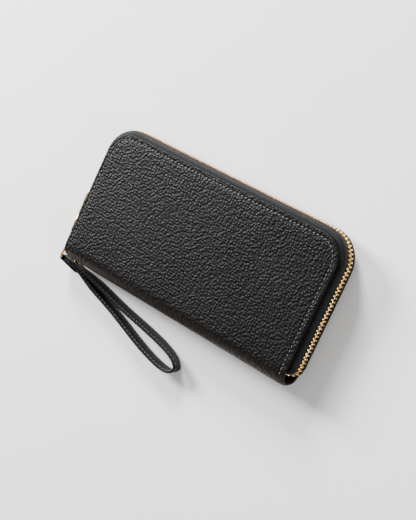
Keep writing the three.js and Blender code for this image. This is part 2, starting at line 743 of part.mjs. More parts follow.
function strapPlaces() {
  const loop = strapLoop.map(([x, y, lift, degrees]) => {
    const lean = THREE.MathUtils.degToRad(degrees);
    const height = lift + restingHeight(lean, strapThickness);
    const plan = new THREE.Vector2(x, y).add(ringApex);
    return { plan, height, lean, thick: strapThickness };
  });
  const knots = [
    ...[2.4, 8, foldLength].map((along) => besideRing(along, 0, strapThickness)),
    ...loop,
    ...[foldLength, 10].map((along) => besideRing(along, layer, strapThickness)),
    besideRing(3, foldRadius, skivedThickness),
  ];
  const middles = knots.map((k) => at(k.plan.x, k.plan.y, k.height));
  const curve = new THREE.CatmullRomCurve3(middles, false, 'centripetal');
  const perKnot = 3;
  const count = (knots.length - 1) * perKnot;
  const places = Array.from({ length: count + 1 }, (_, n) => {
    const middlePoint = curve.getPoint(n / count);
    const knot = n / perKnot;
    const low = knots[Math.floor(knot)];
    const high = knots[Math.ceil(knot)];
    const part = knot - Math.floor(knot);
    const lean = THREE.MathUtils.lerp(low.lean, high.lean, part);
    const thick = THREE.MathUtils.lerp(low.thick, high.thick, part);
    const plan = new THREE.Vector2(middlePoint.x, middlePoint.y);
    return { plan, height: Math.max(middlePoint.z, restingHeight(lean, thick)), lean, thick };
  });
  const foldSteps = 6;
  for (let n = 0; n <= foldSteps; n += 1) {
    const angle = quarter + 2 * quarter * n / foldSteps;
    places.push(besideRing(foldRadius * Math.cos(angle), foldRadius * Math.sin(angle), skivedThickness));
  }
  for (const along of [5, 10, foldLength]) places.push(besideRing(along, -foldRadius, skivedThickness));
  return places;
}

// A flat ribbon on its edge through the places, leaning as they say.
function ribbon(places, width) {
  const along = places.length - 1;
  const geometry = new THREE.BoxGeometry(1, 1, along, 1, 1, along).translate(0, 0, along / 2);
  const points = geometry.attributes.position;
  const headings = places.map((_, n) => {
    const before = places[Math.max(n - 1, 0)].plan;
    const after = places[Math.min(n + 1, along)].plan;
    return new THREE.Vector2().subVectors(after, before).normalize();
  });
  for (let n = 0; n < points.count; n += 1) {
    const step = Math.round(points.getZ(n));
    const { plan, height, lean, thick } = places[step];
    const aside = new THREE.Vector2(headings[step].y, -headings[step].x);
    const across = Math.sign(points.getX(n)) * thick / 2;
    const up = Math.sign(points.getY(n)) * width / 2;
    const spread = across * Math.cos(lean) - up * Math.sin(lean);
    const rise = up * Math.cos(lean) + across * Math.sin(lean);
    points.setXYZ(n, plan.x + aside.x * spread, plan.y + aside.y * spread, height + rise);
  }
  return faceOut(geometry);
}

// A rivet through the folded end, along the strap's sideways direction.
const rivetPlace = besideRing(rivetAlong, 0, 0);
const rivetInner = layer + strapThickness / 2 + gap;
const rivetOuter = -(foldRadius + skivedThickness / 2 + gap);
function rivetCylinder(radius, from, to, sides = 14) {
  const geometry = new THREE.CylinderGeometry(radius, radius, to - from, sides);
  geometry.rotateZ(Math.atan2(strapSide.y, strapSide.x) - quarter);
  const mid = rivetPlace.plan.clone().addScaledVector(strapSide, (from + to) / 2);
  return geometry.translate(mid.x, mid.y, rivetPlace.height);
}
const strap = toSolid(ribbon(strapPlaces(), strapWidth))
  .subtract(toSolid(rivetCylinder(rivetPost + gap, rivetOuter - 1, rivetInner + 1)));
add(wallet, 'wrist_strap', toGeometry(strap), blackLeather);

const rivet = join(
  toSolid(rivetCylinder(rivetPost, rivetOuter - 0.2, rivetInner + 0.2)),
  toSolid(rivetCylinder(rivetHead, rivetInner, rivetInner + rivetCap)),
  toSolid(rivetCylinder(rivetHead, rivetOuter - rivetCap, rivetOuter)),
);
add(wallet, 'strap_rivet', toGeometry(rivet), goldMetal);

export default wallet;
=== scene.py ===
"""A zip-around wristlet wallet: its leather, zip, linings, strap and stage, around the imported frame."""

import json
import math

import bmesh
import bpy
from mathutils import Matrix, Vector


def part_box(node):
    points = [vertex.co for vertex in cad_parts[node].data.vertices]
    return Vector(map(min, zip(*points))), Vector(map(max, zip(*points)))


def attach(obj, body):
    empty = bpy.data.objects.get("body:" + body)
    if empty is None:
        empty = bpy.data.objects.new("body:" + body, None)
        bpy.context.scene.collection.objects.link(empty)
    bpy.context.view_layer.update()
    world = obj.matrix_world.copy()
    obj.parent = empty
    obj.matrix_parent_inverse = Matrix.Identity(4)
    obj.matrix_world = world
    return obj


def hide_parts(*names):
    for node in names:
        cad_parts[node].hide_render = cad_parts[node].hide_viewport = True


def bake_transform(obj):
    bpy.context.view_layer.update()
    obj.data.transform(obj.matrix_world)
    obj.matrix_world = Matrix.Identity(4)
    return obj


bl_info = {
    "name": "Wristlet wallet",
    "version": (1, 0, 0),
    "blender": (4, 5, 0),
    "location": "View3D > Sidebar > Wallet",
    "description": "Builds a zip-around leather wallet with its wrist strap",
    "category": "Object",
}

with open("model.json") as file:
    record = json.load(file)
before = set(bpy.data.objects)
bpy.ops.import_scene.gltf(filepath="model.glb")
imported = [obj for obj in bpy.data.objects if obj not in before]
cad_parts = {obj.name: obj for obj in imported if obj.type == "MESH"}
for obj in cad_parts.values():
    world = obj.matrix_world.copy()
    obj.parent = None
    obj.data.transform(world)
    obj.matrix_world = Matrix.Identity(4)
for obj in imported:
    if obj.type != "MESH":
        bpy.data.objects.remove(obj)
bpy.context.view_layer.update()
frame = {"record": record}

MM = 0.001
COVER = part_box("front_cover_leather")
THICKNESS = COVER[1].z
HALF_LENGTH = COVER[1].x
FAR_EDGE = COVER[1].y
SPINE_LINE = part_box("spine_leather")[0].y
BEND = THICKNESS / 2
BEND_LENGTH = BEND * math.pi / 2
FLAT_LENGTH = FAR_EDGE - SPINE_LINE - BEND
HALVES = ("back", "front")


def linear(hex_colour):
    """An sRGB hex colour as a linear RGBA colour."""
    parts = [int(hex_colour[n : n + 2], 16) / 255 for n in (0, 2, 4)]
    return [p / 12.92 if p <= 0.04045 else ((p + 0.055) / 1.055) ** 2.4 for p in parts] + [1.0]


def length_property(name, description, millimetres):
    """A length that a user may change."""
    return bpy.props.FloatProperty(
        name=name, description=description, default=millimetres * MM, unit="LENGTH", precision=5
    )


def colour_property(name, description, hex_colour):
    """A colour that a user may change."""
    return bpy.props.FloatVectorProperty(
        name=name, description=description, default=linear(hex_colour), subtype="COLOR", size=4, min=0, max=1
    )


class WalletSizes(bpy.types.PropertyGroup):
    """Sizes of the wallet's visible details."""

    edge_depth: length_property("Edge depth", "Depth of a cover's turned leather edge", 2.4)
    edge_round: length_property("Edge rounding", "Radius of the folded leather edge", 0.6)
    corner: length_property("Cover corner", "Radius of the covers' zip-side corners", 17)
    spine_corner: length_property("Spine corner", "Plan radius at the ends of the spine", 4)
    stitch_inset: length_property("Stitch inset", "Stitch line from the cover's edge", 3.3)
    stitch_pitch: length_property("Stitch pitch", "From one stitch to the next", 3.0)
    stitch_long: length_property("Stitch length", "Thread that shows in one stitch", 2.2)
    thread: length_property("Thread", "Thickness of the sewing thread", 0.9)
    lining_inset: length_property("Lining inset", "Lining from the cover's edge", 6)
    chain_width: length_property("Zip chain width", "Across both closed rows of teeth", 5.9)
    chain_depth: length_property("Zip chain depth", "Thickness of the teeth", 2.5)
    tooth_pitch: length_property("Tooth pitch", "Between teeth of one row", 2.6)
    tooth_wide: length_property("Tooth width", "One tooth, along the chain", 1.16)
    tape: length_property("Zip tape", "Thickness of the zip tape", 0.5)
    strap_width: length_property("Strap width", "Width of the wrist strap", 10)
    strap_thick: length_property("Strap thickness", "Two layers of sewn leather", 1.6)
    grain: length_property("Grain", "Across one pebble of the leather's grain", 1.9)


class WalletColours(bpy.types.PropertyGroup):
    """Colours of the wallet's materials and of the stage."""

    leather: colour_property("Leather", "Black pebbled leather", "0c0b0b")
    # painted shade: the darker colour given to the creases between the pebbles
    leather_crease_shade: colour_property("Leather creases", "Between the pebbles", "040404")
    lining: colour_property("Lining", "Black satin twill", "0e0d10")
    tape: colour_property("Zip tape", "Black woven zip tape", "0a0a0b")
    thread: colour_property("Thread", "Waxed black thread", "5a5856")
    gold: colour_property("Gold", "Pale gold plate", "ffd78c")
    gold_deep: colour_property("Worn gold", "Darker gold in the recesses", "dc9c48")
    floor: colour_property("Floor", "Plain pale floor", "fafafa")


# ---- shapes from a few numbers ---------------------------------------------------------


def finish_piece(name, bm, material, body, *nodes, smooth=True, slot=None):
    """The bmesh as a finished piece that rides on a body and stands for CAD nodes."""
    bmesh.ops.remove_doubles(bm, verts=bm.verts, dist=1e-7)
    bmesh.ops.recalc_face_normals(bm, faces=bm.faces)
    for face in bm.faces:
        face.smooth = smooth
    mesh = bpy.data.meshes.new(name)
    bm.to_mesh(mesh)
    bm.free()
    piece = bpy.data.objects.new(name, mesh)
    bpy.context.scene.collection.objects.link(piece)
    mesh.materials.append(material)
    if isinstance(body, str):
        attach(piece, body)
    if nodes:
        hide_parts(*nodes)
    return piece


def bend_with_cover(piece):
    """Bakes the piece's placement into its mesh."""
    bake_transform(piece)
    return piece


def open_gusset(piece):
    """Bakes the gusset's placement into its mesh."""
    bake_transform(piece)
    return piece


def wrap_point(u, v, h, half):
    """A place on the wrap: u along the wallet, v from the middle of the spine round to the
    zip side, and h out from the leather's outer face."""
    if v < BEND_LENGTH:
        turn = v / BEND
        y = SPINE_LINE + BEND - (BEND + h) * math.cos(turn)
        z = BEND + (BEND + h) * math.sin(turn)
    else:
        y = SPINE_LINE + BEND + v - BEND_LENGTH
        z = THICKNESS + h
    corner = bpy.context.scene.wallet_sizes.spine_corner
    below = corner - (y - SPINE_LINE + max(-h, 0))
    if below > 0:
        u *= 1 - (corner - math.sqrt(max(corner**2 - below**2, 0))) / HALF_LENGTH
    return Vector((u, y, z if half == "front" else THICKNESS - z))


def wrap_frame(u, v, h, half, along):
    """A matrix at a place on the wrap: X along the given way, Z out of the leather."""
    place = wrap_point(u, v, h, half)
    step = 0.1 * MM
    x = (wrap_point(u + along[0] * step, v + along[1] * step, h, half) - place).normalized()
    z = (wrap_point(u, v, h + step, half) - place).normalized()
    y = z.cross(x).normalized()
    return Matrix.Translation(place) @ Matrix((x, y, x.cross(y))).transposed().to_4x4()


def edge_distance(u, v, corner):
    """How far inside the wrap's outline a place is. There is no edge along the spine."""
    far = BEND_LENGTH + FLAT_LENGTH
    across = HALF_LENGTH - abs(u)
    up = far - v
    if across < corner and up < corner:
        return corner - math.hypot(corner - across, corner - up)
    return min(across, up)


def sweep(bm, sections, closed=False, caps=True):
    """A skin through a list of sections, each a list of points in the same order."""
    first = [bm.verts.new(p) for p in sections[0]]
    count = len(first)
    edges = [bm.edges.new((first[n], first[(n + 1) % count])) for n in range(count)]
    ring = first
    for section in sections[1:]:
        made = bmesh.ops.extrude_edge_only(bm, edges=edges)["geom"]
        new = [g for g in made if isinstance(g, bmesh.types.BMVert)]
        near = {}
        for old in ring:
            for edge in old.link_edges:
                other = edge.other_vert(old)
                if other in new:
                    near[old] = other
        ring = [near[old] for old in ring]
        for vert, point in zip(ring, section):
            vert.co = point
        edges = [e for e in made if isinstance(e, bmesh.types.BMEdge) and all(v in new for v in e.verts)]
    if closed:
        bmesh.ops.bridge_loops(bm, edges=edges + [e for e in bm.edges if all(v in first for v in e.verts)])
    elif caps:
        bm.faces.new(first)
        bm.faces.new(ring)
    return bm


def rounded_section(width, thick, round_by, steps=3):
    """A flat section with rounded corners, in X (thickness) and Y (width)."""
    points = []
    for n in range(4):
        sx = (1, -1, -1, 1)[n]
        sy = (1, 1, -1, -1)[n]
        for k in range(steps + 1):
            angle = math.pi / 2 * (n + k / steps)
            points.append(
                (
                    sx * (thick / 2 - round_by) + round_by * math.cos(angle),
                    sy * (width / 2 - round_by) + round_by * math.sin(angle),
                )
            )
    return points


def add_block(bm, matrix, size, bevel=0.0, segments=1, taper=1.0):
    """A block with bevelled edges in the frame of a matrix. Its far Z end may be tapered."""
    verts = bmesh.ops.create_cube(bm, size=1)["verts"]
    for vert in verts:
        if vert.co.z > 0:
            vert.co.x *= taper
            vert.co.y *= taper
    bmesh.ops.transform(bm, matrix=matrix @ Matrix.Diagonal((*size, 1)), verts=verts)
    if bevel:
        edges = list({e for v in verts for e in v.link_edges})
        bmesh.ops.bevel(
            bm, geom=edges, offset=bevel, affect="EDGES", segments=segments, profile=0.5, material=-1,
            clamp_overlap=True,
        )


def add_stitch(bm, matrix, sizes):
    """One stitch: a short, flat bead of thread along X."""
    scale = Matrix.Diagonal((sizes.stitch_long / 2, sizes.thread / 2, sizes.thread * 0.36, 1))
    bmesh.ops.create_uvsphere(bm, u_segments=6, v_segments=4, radius=1, matrix=matrix @ scale)


def add_panel(bm, low, high, depth, thick, climb=0.0, corner=0.0):
    """A flat sewn panel from one plan corner to the other, rising from its foot by climb."""
    part = bmesh.new()
    outline = [
        part.verts.new((x, y, 0)) for x,
        y in ((low[0], low[1]), (high[0], low[1]), (high[0], high[1]), (low[0], high[1]))
    ]
    part.faces.new(outline)
    if corner:
        bmesh.ops.bevel(
            part, geom=outline[2:], offset=corner, affect="VERTICES", segments=5, profile=0.5, material=-1
        )
    made = bmesh.ops.extrude_face_region(part, geom=part.faces[:])["geom"]
    top = [g for g in made if isinstance(g, bmesh.types.BMVert)]
    bmesh.ops.translate(part, vec=(0, 0, thick), verts=top)
    rims = [e for e in part.edges if abs(e.verts[0].co.z - e.verts[1].co.z) < 1e-9]
    bmesh.ops.bevel(part, geom=rims, offset=0.3 * thick, affect="EDGES", segments=2, profile=0.5, material=-1)
    for vert in part.verts:
        vert.co.z += depth + climb * (vert.co.y - low[1]) / (high[1] - low[1])
    merge(bm, part)


def merge(bm, other):
    """Adds another bmesh's shape to this one."""
    mesh = bpy.data.meshes.new("part")
    other.to_mesh(mesh)
    other.free()
    bm.from_mesh(mesh)
    bpy.data.meshes.remove(mesh)


def turned(bm, half):
    """Turns the back half's shape over about the wallet's mid height for the front half."""
    if half == "front":
        bmesh.ops.scale(bm, vec=(1, 1, -1), verts=bm.verts)
        bmesh.ops.translate(bm, vec=(0, 0, THICKNESS), verts=bm.verts)
    return bm


# ---- materials ---------------------------------------------------------------------------


def add_node(tree, kind, settings=None, inputs=None):
    """A shader node with its settings and its inputs, each a value or another node's output."""
    made = tree.nodes.new(kind)
    for name, value in (settings or {}).items():
        setattr(made, name, value)
    for name, value in (inputs or {}).items():
        if isinstance(value, bpy.types.NodeSocket):
            tree.links.new(value, made.inputs[name])
        else:
            made.inputs[name].default_value = value
    return made


def new_material(name):
    """An empty material, its node tree, its shader and its object coordinates."""
    material = bpy.data.materials.new(name)
    material.use_nodes = True
    tree = material.node_tree
    shader = next(n for n in tree.nodes if n.type == "BSDF_PRINCIPLED")
    place = add_node(tree, "ShaderNodeTexCoord").outputs["Object"]
    return material, tree, shader, place


def set_shader(tree, shader, **inputs):
    """Sets the shader's inputs, each a value or another node's output."""
    for name, value in inputs.items():
        name = name.replace("_", " ")
        if isinstance(value, bpy.types.NodeSocket):
            tree.links.new(value, shader.inputs[name])
        else:
            shader.inputs[name].default_value = value


def pebbled_leather(
    colours, sizes, name="black pebbled cowhide", grain=None, depth=0.62, rough=(0.34, 0.6), spine_reflection=0.0
):
    """Chrome-tanned cowhide, embossed with a pebble grain and lightly waxed: soft round cells with dull
    creases between them in painted shade, a painted warm reflection along the spine, and a broad soft sheen."""
    material, tree, shader, place = new_material(name)
    grain = grain or sizes.grain
    drift = add_node(
        tree, "ShaderNodeTexNoise", None, {"Vector": place, "Scale": 0.35 / grain, "Detail": 2.0}
    )
    shifted = add_node(
        tree, "ShaderNodeVectorMath", {"operation": "MULTIPLY_ADD"},
        {0: drift.outputs["Color"], 1: (0.5 * grain,) * 3, 2: place}
    )
    cells = add_node(
        tree, "ShaderNodeTexVoronoi", {"feature": "SMOOTH_F1"},
        {"Vector": shifted.outputs[0], "Scale": 1 / grain, "Smoothness": 0.3, "Randomness": 0.75},
    )
    pores = add_node(
        tree, "ShaderNodeTexNoise", None,
        {"Vector": place, "Scale": 4 / grain, "Detail": 4.0, "Roughness": 0.6}
    )
    wide = add_node(tree, "ShaderNodeTexNoise", None, {"Vector": place, "Scale": 35.0, "Detail": 3.0})
    crease = add_node(
        tree, "ShaderNodeMapRange", None,
        {"Value": cells.outputs["Distance"], "From Min": 0.2, "From Max": 0.6, "To Min": 0.0, "To Max": 1.0}
    ).outputs["Result"]
    # painted shade: the creases between the pebbles are coloured darker
    colour = add_node(
        tree, "ShaderNodeMix", {"data_type": "RGBA"}, {0: crease, 6: colours.leather, 7: colours.leather_crease_shade}
    ).outputs[2]
    patches = add_node(
        tree, "ShaderNodeMapRange", None,
        {"Value": wide.outputs["Fac"], "From Min": 0.45, "From Max": 0.75, "To Min": 0.0, "To Max": 0.3}
    ).outputs["Result"]
    # random lighter patches of wear, laid over the painted crease shade
    painted_light_and_wear = add_node(
        tree, "ShaderNodeMix", {"data_type": "RGBA"}, {0: patches, 6: colour, 7: linear("1c1714")}
    ).outputs[2]
    axes = add_node(tree, "ShaderNodeSeparateXYZ", None, {"Vector": place})
    fold = add_node(
        tree, "ShaderNodeMapRange", None,
        {
            "Value": axes.outputs["Y"], "From Min": SPINE_LINE + 8 * MM, "From Max": SPINE_LINE,
            "To Min": 0.0, "To Max": spine_reflection
        }
    ).outputs["Result"]
    # painted reflection: a warm brown tinge along the spine
    painted_light_and_wear = add_node(
        tree, "ShaderNodeMix", {"data_type": "RGBA"}, {0: fold, 6: painted_light_and_wear, 7: linear("3a2a1e")}
    ).outputs[2]
    height = add_node(
        tree, "ShaderNodeMath", {"operation": "MULTIPLY_ADD"},
        {0: pores.outputs["Fac"], 1: -0.08, 2: cells.outputs["Distance"]}
    )
    bump = add_node(
        tree, "ShaderNodeBump", {"invert": True},
        {"Height": height.outputs[0], "Strength": 0.9, "Distance": depth * MM}
    )
    duller = add_node(
        tree, "ShaderNodeMapRange", None,
        {"Value": crease, "From Min": 0.0, "From Max": 1.0, "To Min": rough[0], "To Max": rough[1]}
    ).outputs["Result"]
    set_shader(
        tree, shader, Base_Color=painted_light_and_wear, Roughness=duller, Normal=bump.outputs["Normal"],
        Specular_IOR_Level=0.13
    )
    return material


def woven_tape(colours):
    """Woven polyester zip tape, dyed black: a fine herringbone that takes a dull sheen."""
    material, tree, shader, place = new_material("black woven polyester tape")
    thread_pitch = 0.55 * MM  # drawn coarser than the real 0.25 mm, which is too fine to show
    waves = []
    for direction in ((1, 1, 1), (1, 1, -1)):
        turned_place = add_node(
            tree, "ShaderNodeVectorMath", {"operation": "DOT_PRODUCT"}, {0: place, 1: direction}
        )
        line = add_node(tree, "ShaderNodeCombineXYZ", None, {"X": turned_place.outputs["Value"]})
        waves.append(
            add_node(
                tree, "ShaderNodeTexWave", {"bands_direction": "X"},
                {"Vector": line.outputs[0], "Scale": 0.314 / thread_pitch}
            )
        )
    both = add_node(
        tree, "ShaderNodeMath", {"operation": "MULTIPLY"},
        {0: waves[0].outputs["Fac"], 1: waves[1].outputs["Fac"]}
    )
    fuzz = add_node(tree, "ShaderNodeTexNoise", None, {"Vector": place, "Scale": 900.0, "Detail": 3.0})
    colour = add_node(
        tree, "ShaderNodeMix", {"data_type": "RGBA"},
        {0: both.outputs[0], 6: colours.tape, 7: linear("161518")}
    ).outputs[2]
    bump = add_node(
        tree, "ShaderNodeBump", None, {"Height": both.outputs[0], "Strength": 0.5, "Distance": 0.08 * MM}
    )
    matt = add_node(
        tree, "ShaderNodeMapRange", None,
        {"Value": fuzz.outputs["Fac"], "From Min": 0.3, "From Max": 0.7, "To Min": 0.6, "To Max": 0.8}
    ).outputs["Result"]
    set_shader(
        tree, shader, Base_Color=colour, Roughness=matt, Normal=bump.outputs["Normal"], Specular_IOR_Level=0.2
    )
    return material


def satin_twill(colours):
    """Satin-faced viscose twill, dyed black: fine diagonal ribs and a silky sheen."""
    material, tree, shader, place = new_material("black satin twill")
    rib = 0.6 * MM  # drawn coarser than the real 0.3 mm
    along = add_node(tree, "ShaderNodeVectorMath", {"operation": "DOT_PRODUCT"}, {0: place, 1: (1, 0.7, 0.7)})
    line = add_node(tree, "ShaderNodeCombineXYZ", None, {"X": along.outputs["Value"]})
    wave = add_node(
        tree, "ShaderNodeTexWave", {"bands_direction": "X"},
        {"Vector": line.outputs[0], "Scale": 0.314 / rib, "Distortion": 0.4}
    )
    folds = add_node(tree, "ShaderNodeTexNoise", None, {"Vector": place, "Scale": 60.0, "Detail": 2.0})
    colour = add_node(
        tree, "ShaderNodeMix", {"data_type": "RGBA"},
        {0: wave.outputs["Fac"], 6: colours.lining, 7: linear("19181c")}
    ).outputs[2]
    bump = add_node(
        tree, "ShaderNodeBump", None, {"Height": wave.outputs["Fac"], "Strength": 0.4, "Distance": 0.05 * MM}
    )
    silky = add_node(
        tree, "ShaderNodeMapRange", None,
        {"Value": folds.outputs["Fac"], "From Min": 0.3, "From Max": 0.7, "To Min": 0.38, "To Max": 0.55}
    ).outputs["Result"]
    set_shader(tree, shader, Base_Color=colour, Roughness=silky, Normal=bump.outputs["Normal"])
    set_shader(tree, shader, Sheen_Weight=0.06, Sheen_Roughness=0.3, Specular_IOR_Level=0.3)
    return material


def waxed_thread(colours):
    """Waxed bonded nylon, twisted from three strands: small slanting ridges, slightly glossy."""
    material, tree, shader, place = new_material("black waxed thread")
    along = add_node(tree, "ShaderNodeVectorMath", {"operation": "DOT_PRODUCT"}, {0: place, 1: (1, 1, 0.5)})
    line = add_node(tree, "ShaderNodeCombineXYZ", None, {"X": along.outputs["Value"]})
    twist = add_node(
        tree, "ShaderNodeTexWave", {"bands_direction": "X"},
        {"Vector": line.outputs[0], "Scale": 0.314 / (0.45 * MM)}
    )
    bump = add_node(
        tree, "ShaderNodeBump", None, {"Height": twist.outputs["Fac"], "Strength": 0.5, "Distance": 0.06 * MM}
    )
    colour = add_node(
        tree, "ShaderNodeMix", {"data_type": "RGBA"},
        {0: twist.outputs["Fac"], 6: linear("2a2928"), 7: colours.thread}
    ).outputs[2]
    set_shader(tree, shader, Base_Color=colour, Roughness=0.45, Normal=bump.outputs["Normal"])
    return material


def gold_plate(colours):
    """Polished brass with a pale gold plate: warm, bright edges, with a slight dulling and
    fine scuffs from handling."""
    material, tree, shader, place = new_material("pale gold plated brass")
    dull = add_node(tree, "ShaderNodeTexNoise", None, {"Vector": place, "Scale": 160.0, "Detail": 4.0})
    scuffs = add_node(tree, "ShaderNodeTexNoise", None, {"Vector": place, "Scale": 1800.0, "Detail": 2.0})
    darkened = add_node(
        tree, "ShaderNodeMapRange", None,
        {"Value": dull.outputs["Fac"], "From Min": 0.5, "From Max": 0.8, "To Min": 0.0, "To Max": 0.4}
    ).outputs["Result"]
    colour = add_node(
        tree, "ShaderNodeMix", {"data_type": "RGBA"}, {0: darkened, 6: colours.gold, 7: colours.gold_deep}
    ).outputs[2]
    bump = add_node(
        tree, "ShaderNodeBump", None,
        {"Height": scuffs.outputs["Fac"], "Strength": 0.12, "Distance": 0.02 * MM}
    )
    polish = add_node(
        tree, "ShaderNodeMapRange", None,
        {"Value": dull.outputs["Fac"], "From Min": 0.3, "From Max": 0.7, "To Min": 0.18, "To Max": 0.34}
    ).outputs["Result"]
    set_shader(tree, shader, Base_Color=colour, Roughness=polish, Normal=bump.outputs["Normal"], Metallic=1.0)
    return material


def painted_floor(colours):
    """A matt painted board, faintly mottled, for the wallet to lie on."""
    material, tree, shader, place = new_material("matt painted board")
    mottle = add_node(tree, "ShaderNodeTexNoise", None, {"Vector": place, "Scale": 6.0, "Detail": 2.0})
    faint = add_node(
        tree, "ShaderNodeMapRange", None,
        {"Value": mottle.outputs["Fac"], "From Min": 0.3, "From Max": 0.7, "To Min": 0.0, "To Max": 0.04}
    ).outputs["Result"]
    colour = add_node(
        tree, "ShaderNodeMix", {"data_type": "RGBA"}, {0: faint, 6: colours.floor, 7: linear("d6d6d6")}
    ).outputs[2]
    set_shader(tree, shader, Base_Color=colour, Roughness=0.75)
    return material


def material_of(name):
    """A material by its name, made the first time that it is asked for."""
    scene = bpy.context.scene
    colours, sizes = scene.wallet_colours, scene.wallet_sizes
    makers = {
        # the cover leather carries a painted warm reflection along the spine
        "leather": ("black pebbled cowhide", lambda: pebbled_leather(colours, sizes, spine_reflection=0.55)),
        "fine leather": (
            "black fine-grained calf",
            lambda: pebbled_leather(colours, sizes, "black fine-grained calf", 0.9 * MM, 0.12, (0.42, 0.55)),
        ),
        "tape": ("black woven polyester tape", lambda: woven_tape(colours)),
        "twill": ("black satin twill", lambda: satin_twill(colours)),
        "thread": ("black waxed thread", lambda: waxed_thread(colours)),
        "gold": ("pale gold plated brass", lambda: gold_plate(colours)),
        "floor": ("matt painted board", lambda: painted_floor(colours)),
    }
    known, make = makers[name]
    return bpy.data.materials.get(known) or make()


# ---- leather covers ----------------------------------------------------------------------


def smooth_step(x):
    """An eased rise from 0 to 1."""
    x = min(max(x, 0.0), 1.0)
    return x * x * (3 - 2 * x)


def wrap_slab(inset, rings, top, bottom, cell=12 * MM):
    """A slab that wraps the back cover, the spine and the front cover in one. Its two faces
    lie at heights that depend on the distance from the wrap's edge."""
    sizes = bpy.context.scene.wallet_sizes
    bm = bmesh.new()
    wide = HALF_LENGTH - inset
    far = BEND_LENGTH + FLAT_LENGTH - inset
    corners = [bm.verts.new(p) for p in ((-wide, -far, 0), (wide, -far, 0), (wide, far, 0), (-wide, far, 0))]
    bm.faces.new(corners)
    bmesh.ops.bevel(
        bm, geom=corners, offset=max(
            sizes.corner - inset, MM
        ), affect="VERTICES", segments=12, profile=0.5, material=-1
    )
    face = bm.faces[:][0]
    reached = 0.0
    for ring in rings:
        bmesh.ops.inset_region(
            bm, faces=[face], thickness=ring - reached, use_even_offset=True, use_boundary=True
        )
        reached = ring
    steps = 18
    rows = [BEND_LENGTH * n / steps for n in range(steps + 1)]
    rows += [BEND_LENGTH + cell * n for n in range(1, int((far - BEND_LENGTH) / cell) + 1)]
    cuts = [((0, v, 0), (0, 1, 0)) for v in rows] + [((0, -v, 0), (0, 1, 0)) for v in rows[1:]]
    cuts += [((cell * n, 0, 0), (1, 0, 0)) for n in range(-int(wide / cell), int(wide / cell) + 1)]
    for place, normal in cuts:
        bmesh.ops.bisect_plane(
            bm, geom=bm.verts[:] + bm.edges[:] + bm.faces[:], plane_co=place, plane_no=normal
        )
    lower = bm.verts[:]
    made = bmesh.ops.extrude_face_region(bm, geom=bm.faces[:])["geom"]
    upper = [g for g in made if isinstance(g, bmesh.types.BMVert)]
    for verts, height in ((lower, bottom), (upper, top)):
        for vert in verts:
            u, v, _ = vert.co
            d = edge_distance(u, abs(v), sizes.corner)
            vert.co = wrap_point(u, abs(v), height(d, abs(v)), "front" if v > 0 else "back")
    return bm


def folded_edge(d, radius):
    """How far a rounded edge has dropped at a distance from it."""
    return radius - math.sqrt(max(radius**2 - max(radius - d, 0) ** 2, 0))


def leather_top(sizes):
    """The outer face: a folded edge, the sewn channel, and a slightly fuller middle."""

    def height(d, v):
        sewn = smooth_step((v - 0.4 * BEND_LENGTH) / (0.5 * BEND_LENGTH))
        channel = 0.22 * MM * math.exp(-(((d - sizes.stitch_inset) / (0.6 * MM)) ** 2)) * sewn
        fullness = 0.12 * MM * (1 - smooth_step((d - sizes.stitch_inset) / (4 * MM))) * sewn
        return -folded_edge(d, sizes.edge_round) - channel - fullness

    return height


def leather_bottom(sizes):
    """The turned-in edge, and the recess that the lining lies in."""

    def height(d, v):
        return -sizes.edge_depth + folded_edge(d, 0.6 * MM) + 0.35 * MM * smooth_step((d - 6.4 * MM) / MM)

    return height


def stitch_places(inset, pitch, start):
    """Places of stitches along a wrap's three edges: u, v and the way the seam runs."""
    corner = bpy.context.scene.wallet_sizes.corner
    wide, far = HALF_LENGTH - inset, BEND_LENGTH + FLAT_LENGTH - inset
    radius = corner - inset
    side, arc, top = far - radius - start, radius * math.pi / 2, 2 * (wide - radius)
    total = 2 * side + 2 * arc + top
    count = int(total / pitch)
    for n in range(count + 1):
        s = total * n / count
        mirror = s > total / 2
        if mirror:
            s = total - s
        if s < side:
            u, v, along = -wide, start + s, (0, 1)
        elif s < side + arc:
            turn = (s - side) / radius
            u = -wide + radius - radius * math.cos(turn)
            v = far - radius + radius * math.sin(turn)
            along = (math.sin(turn), math.cos(turn))
        else:
            u, v, along = -wide + radius + s - side - arc, far, (1, 0)
        yield (-u, v, (-along[0], along[1])) if mirror else (u, v, along)


# ---- zip -----------------------------------------------------------------------------------

CHAIN_X = HALF_LENGTH + 2.7 * MM
CHAIN_Y = FAR_EDGE + 3.6 * MM
CHAIN_CORNER = 20 * MM
TUCK_RADIUS = 5 * MM
TUCK_RUN = 2.4 * MM
TUCK_LEFT = SPINE_LINE + 12.5 * MM
TUCK_RIGHT = SPINE_LINE + 8.3 * MM
FIRST_TOOTH = 15.4 * MM  # from the zip's left end
LAST_TOOTH = 3.2 * MM  # from its right end
TAPE_TUCKED = 2.6 * MM  # how far in the tape reaches at its tucked ends
TAPE_SEWN = 8.3 * MM  # and where it is sewn under a cover
STOP_LONG = 2.2 * MM
STOP_PROUD = 0.3 * MM  # how far a stop stands out past the teeth


def zip_moves():
    """The zip's straight runs and right-hand turns, from its left tucked end to its right."""
    up = CHAIN_Y - CHAIN_CORNER
    return [
        (TUCK_RUN, 0), (TUCK_RADIUS * math.pi / 2, TUCK_RADIUS), (up - TUCK_LEFT - TUCK_RADIUS, 0),
        (CHAIN_CORNER * math.pi / 2, CHAIN_CORNER), (2 * (CHAIN_X - CHAIN_CORNER), 0),
        (CHAIN_CORNER * math.pi / 2, CHAIN_CORNER), (up - TUCK_RIGHT - TUCK_RADIUS, 0),
        (TUCK_RADIUS * math.pi / 2, TUCK_RADIUS), (TUCK_RUN, 0),
    ]


ZIP_LENGTH = sum(length for length, _ in zip_moves())
SIDE_START = sum(length for length, _ in zip_moves()[:2])
CROWN = sum(length for length, _ in zip_moves()[:4]) + zip_moves()[4][0] / 2


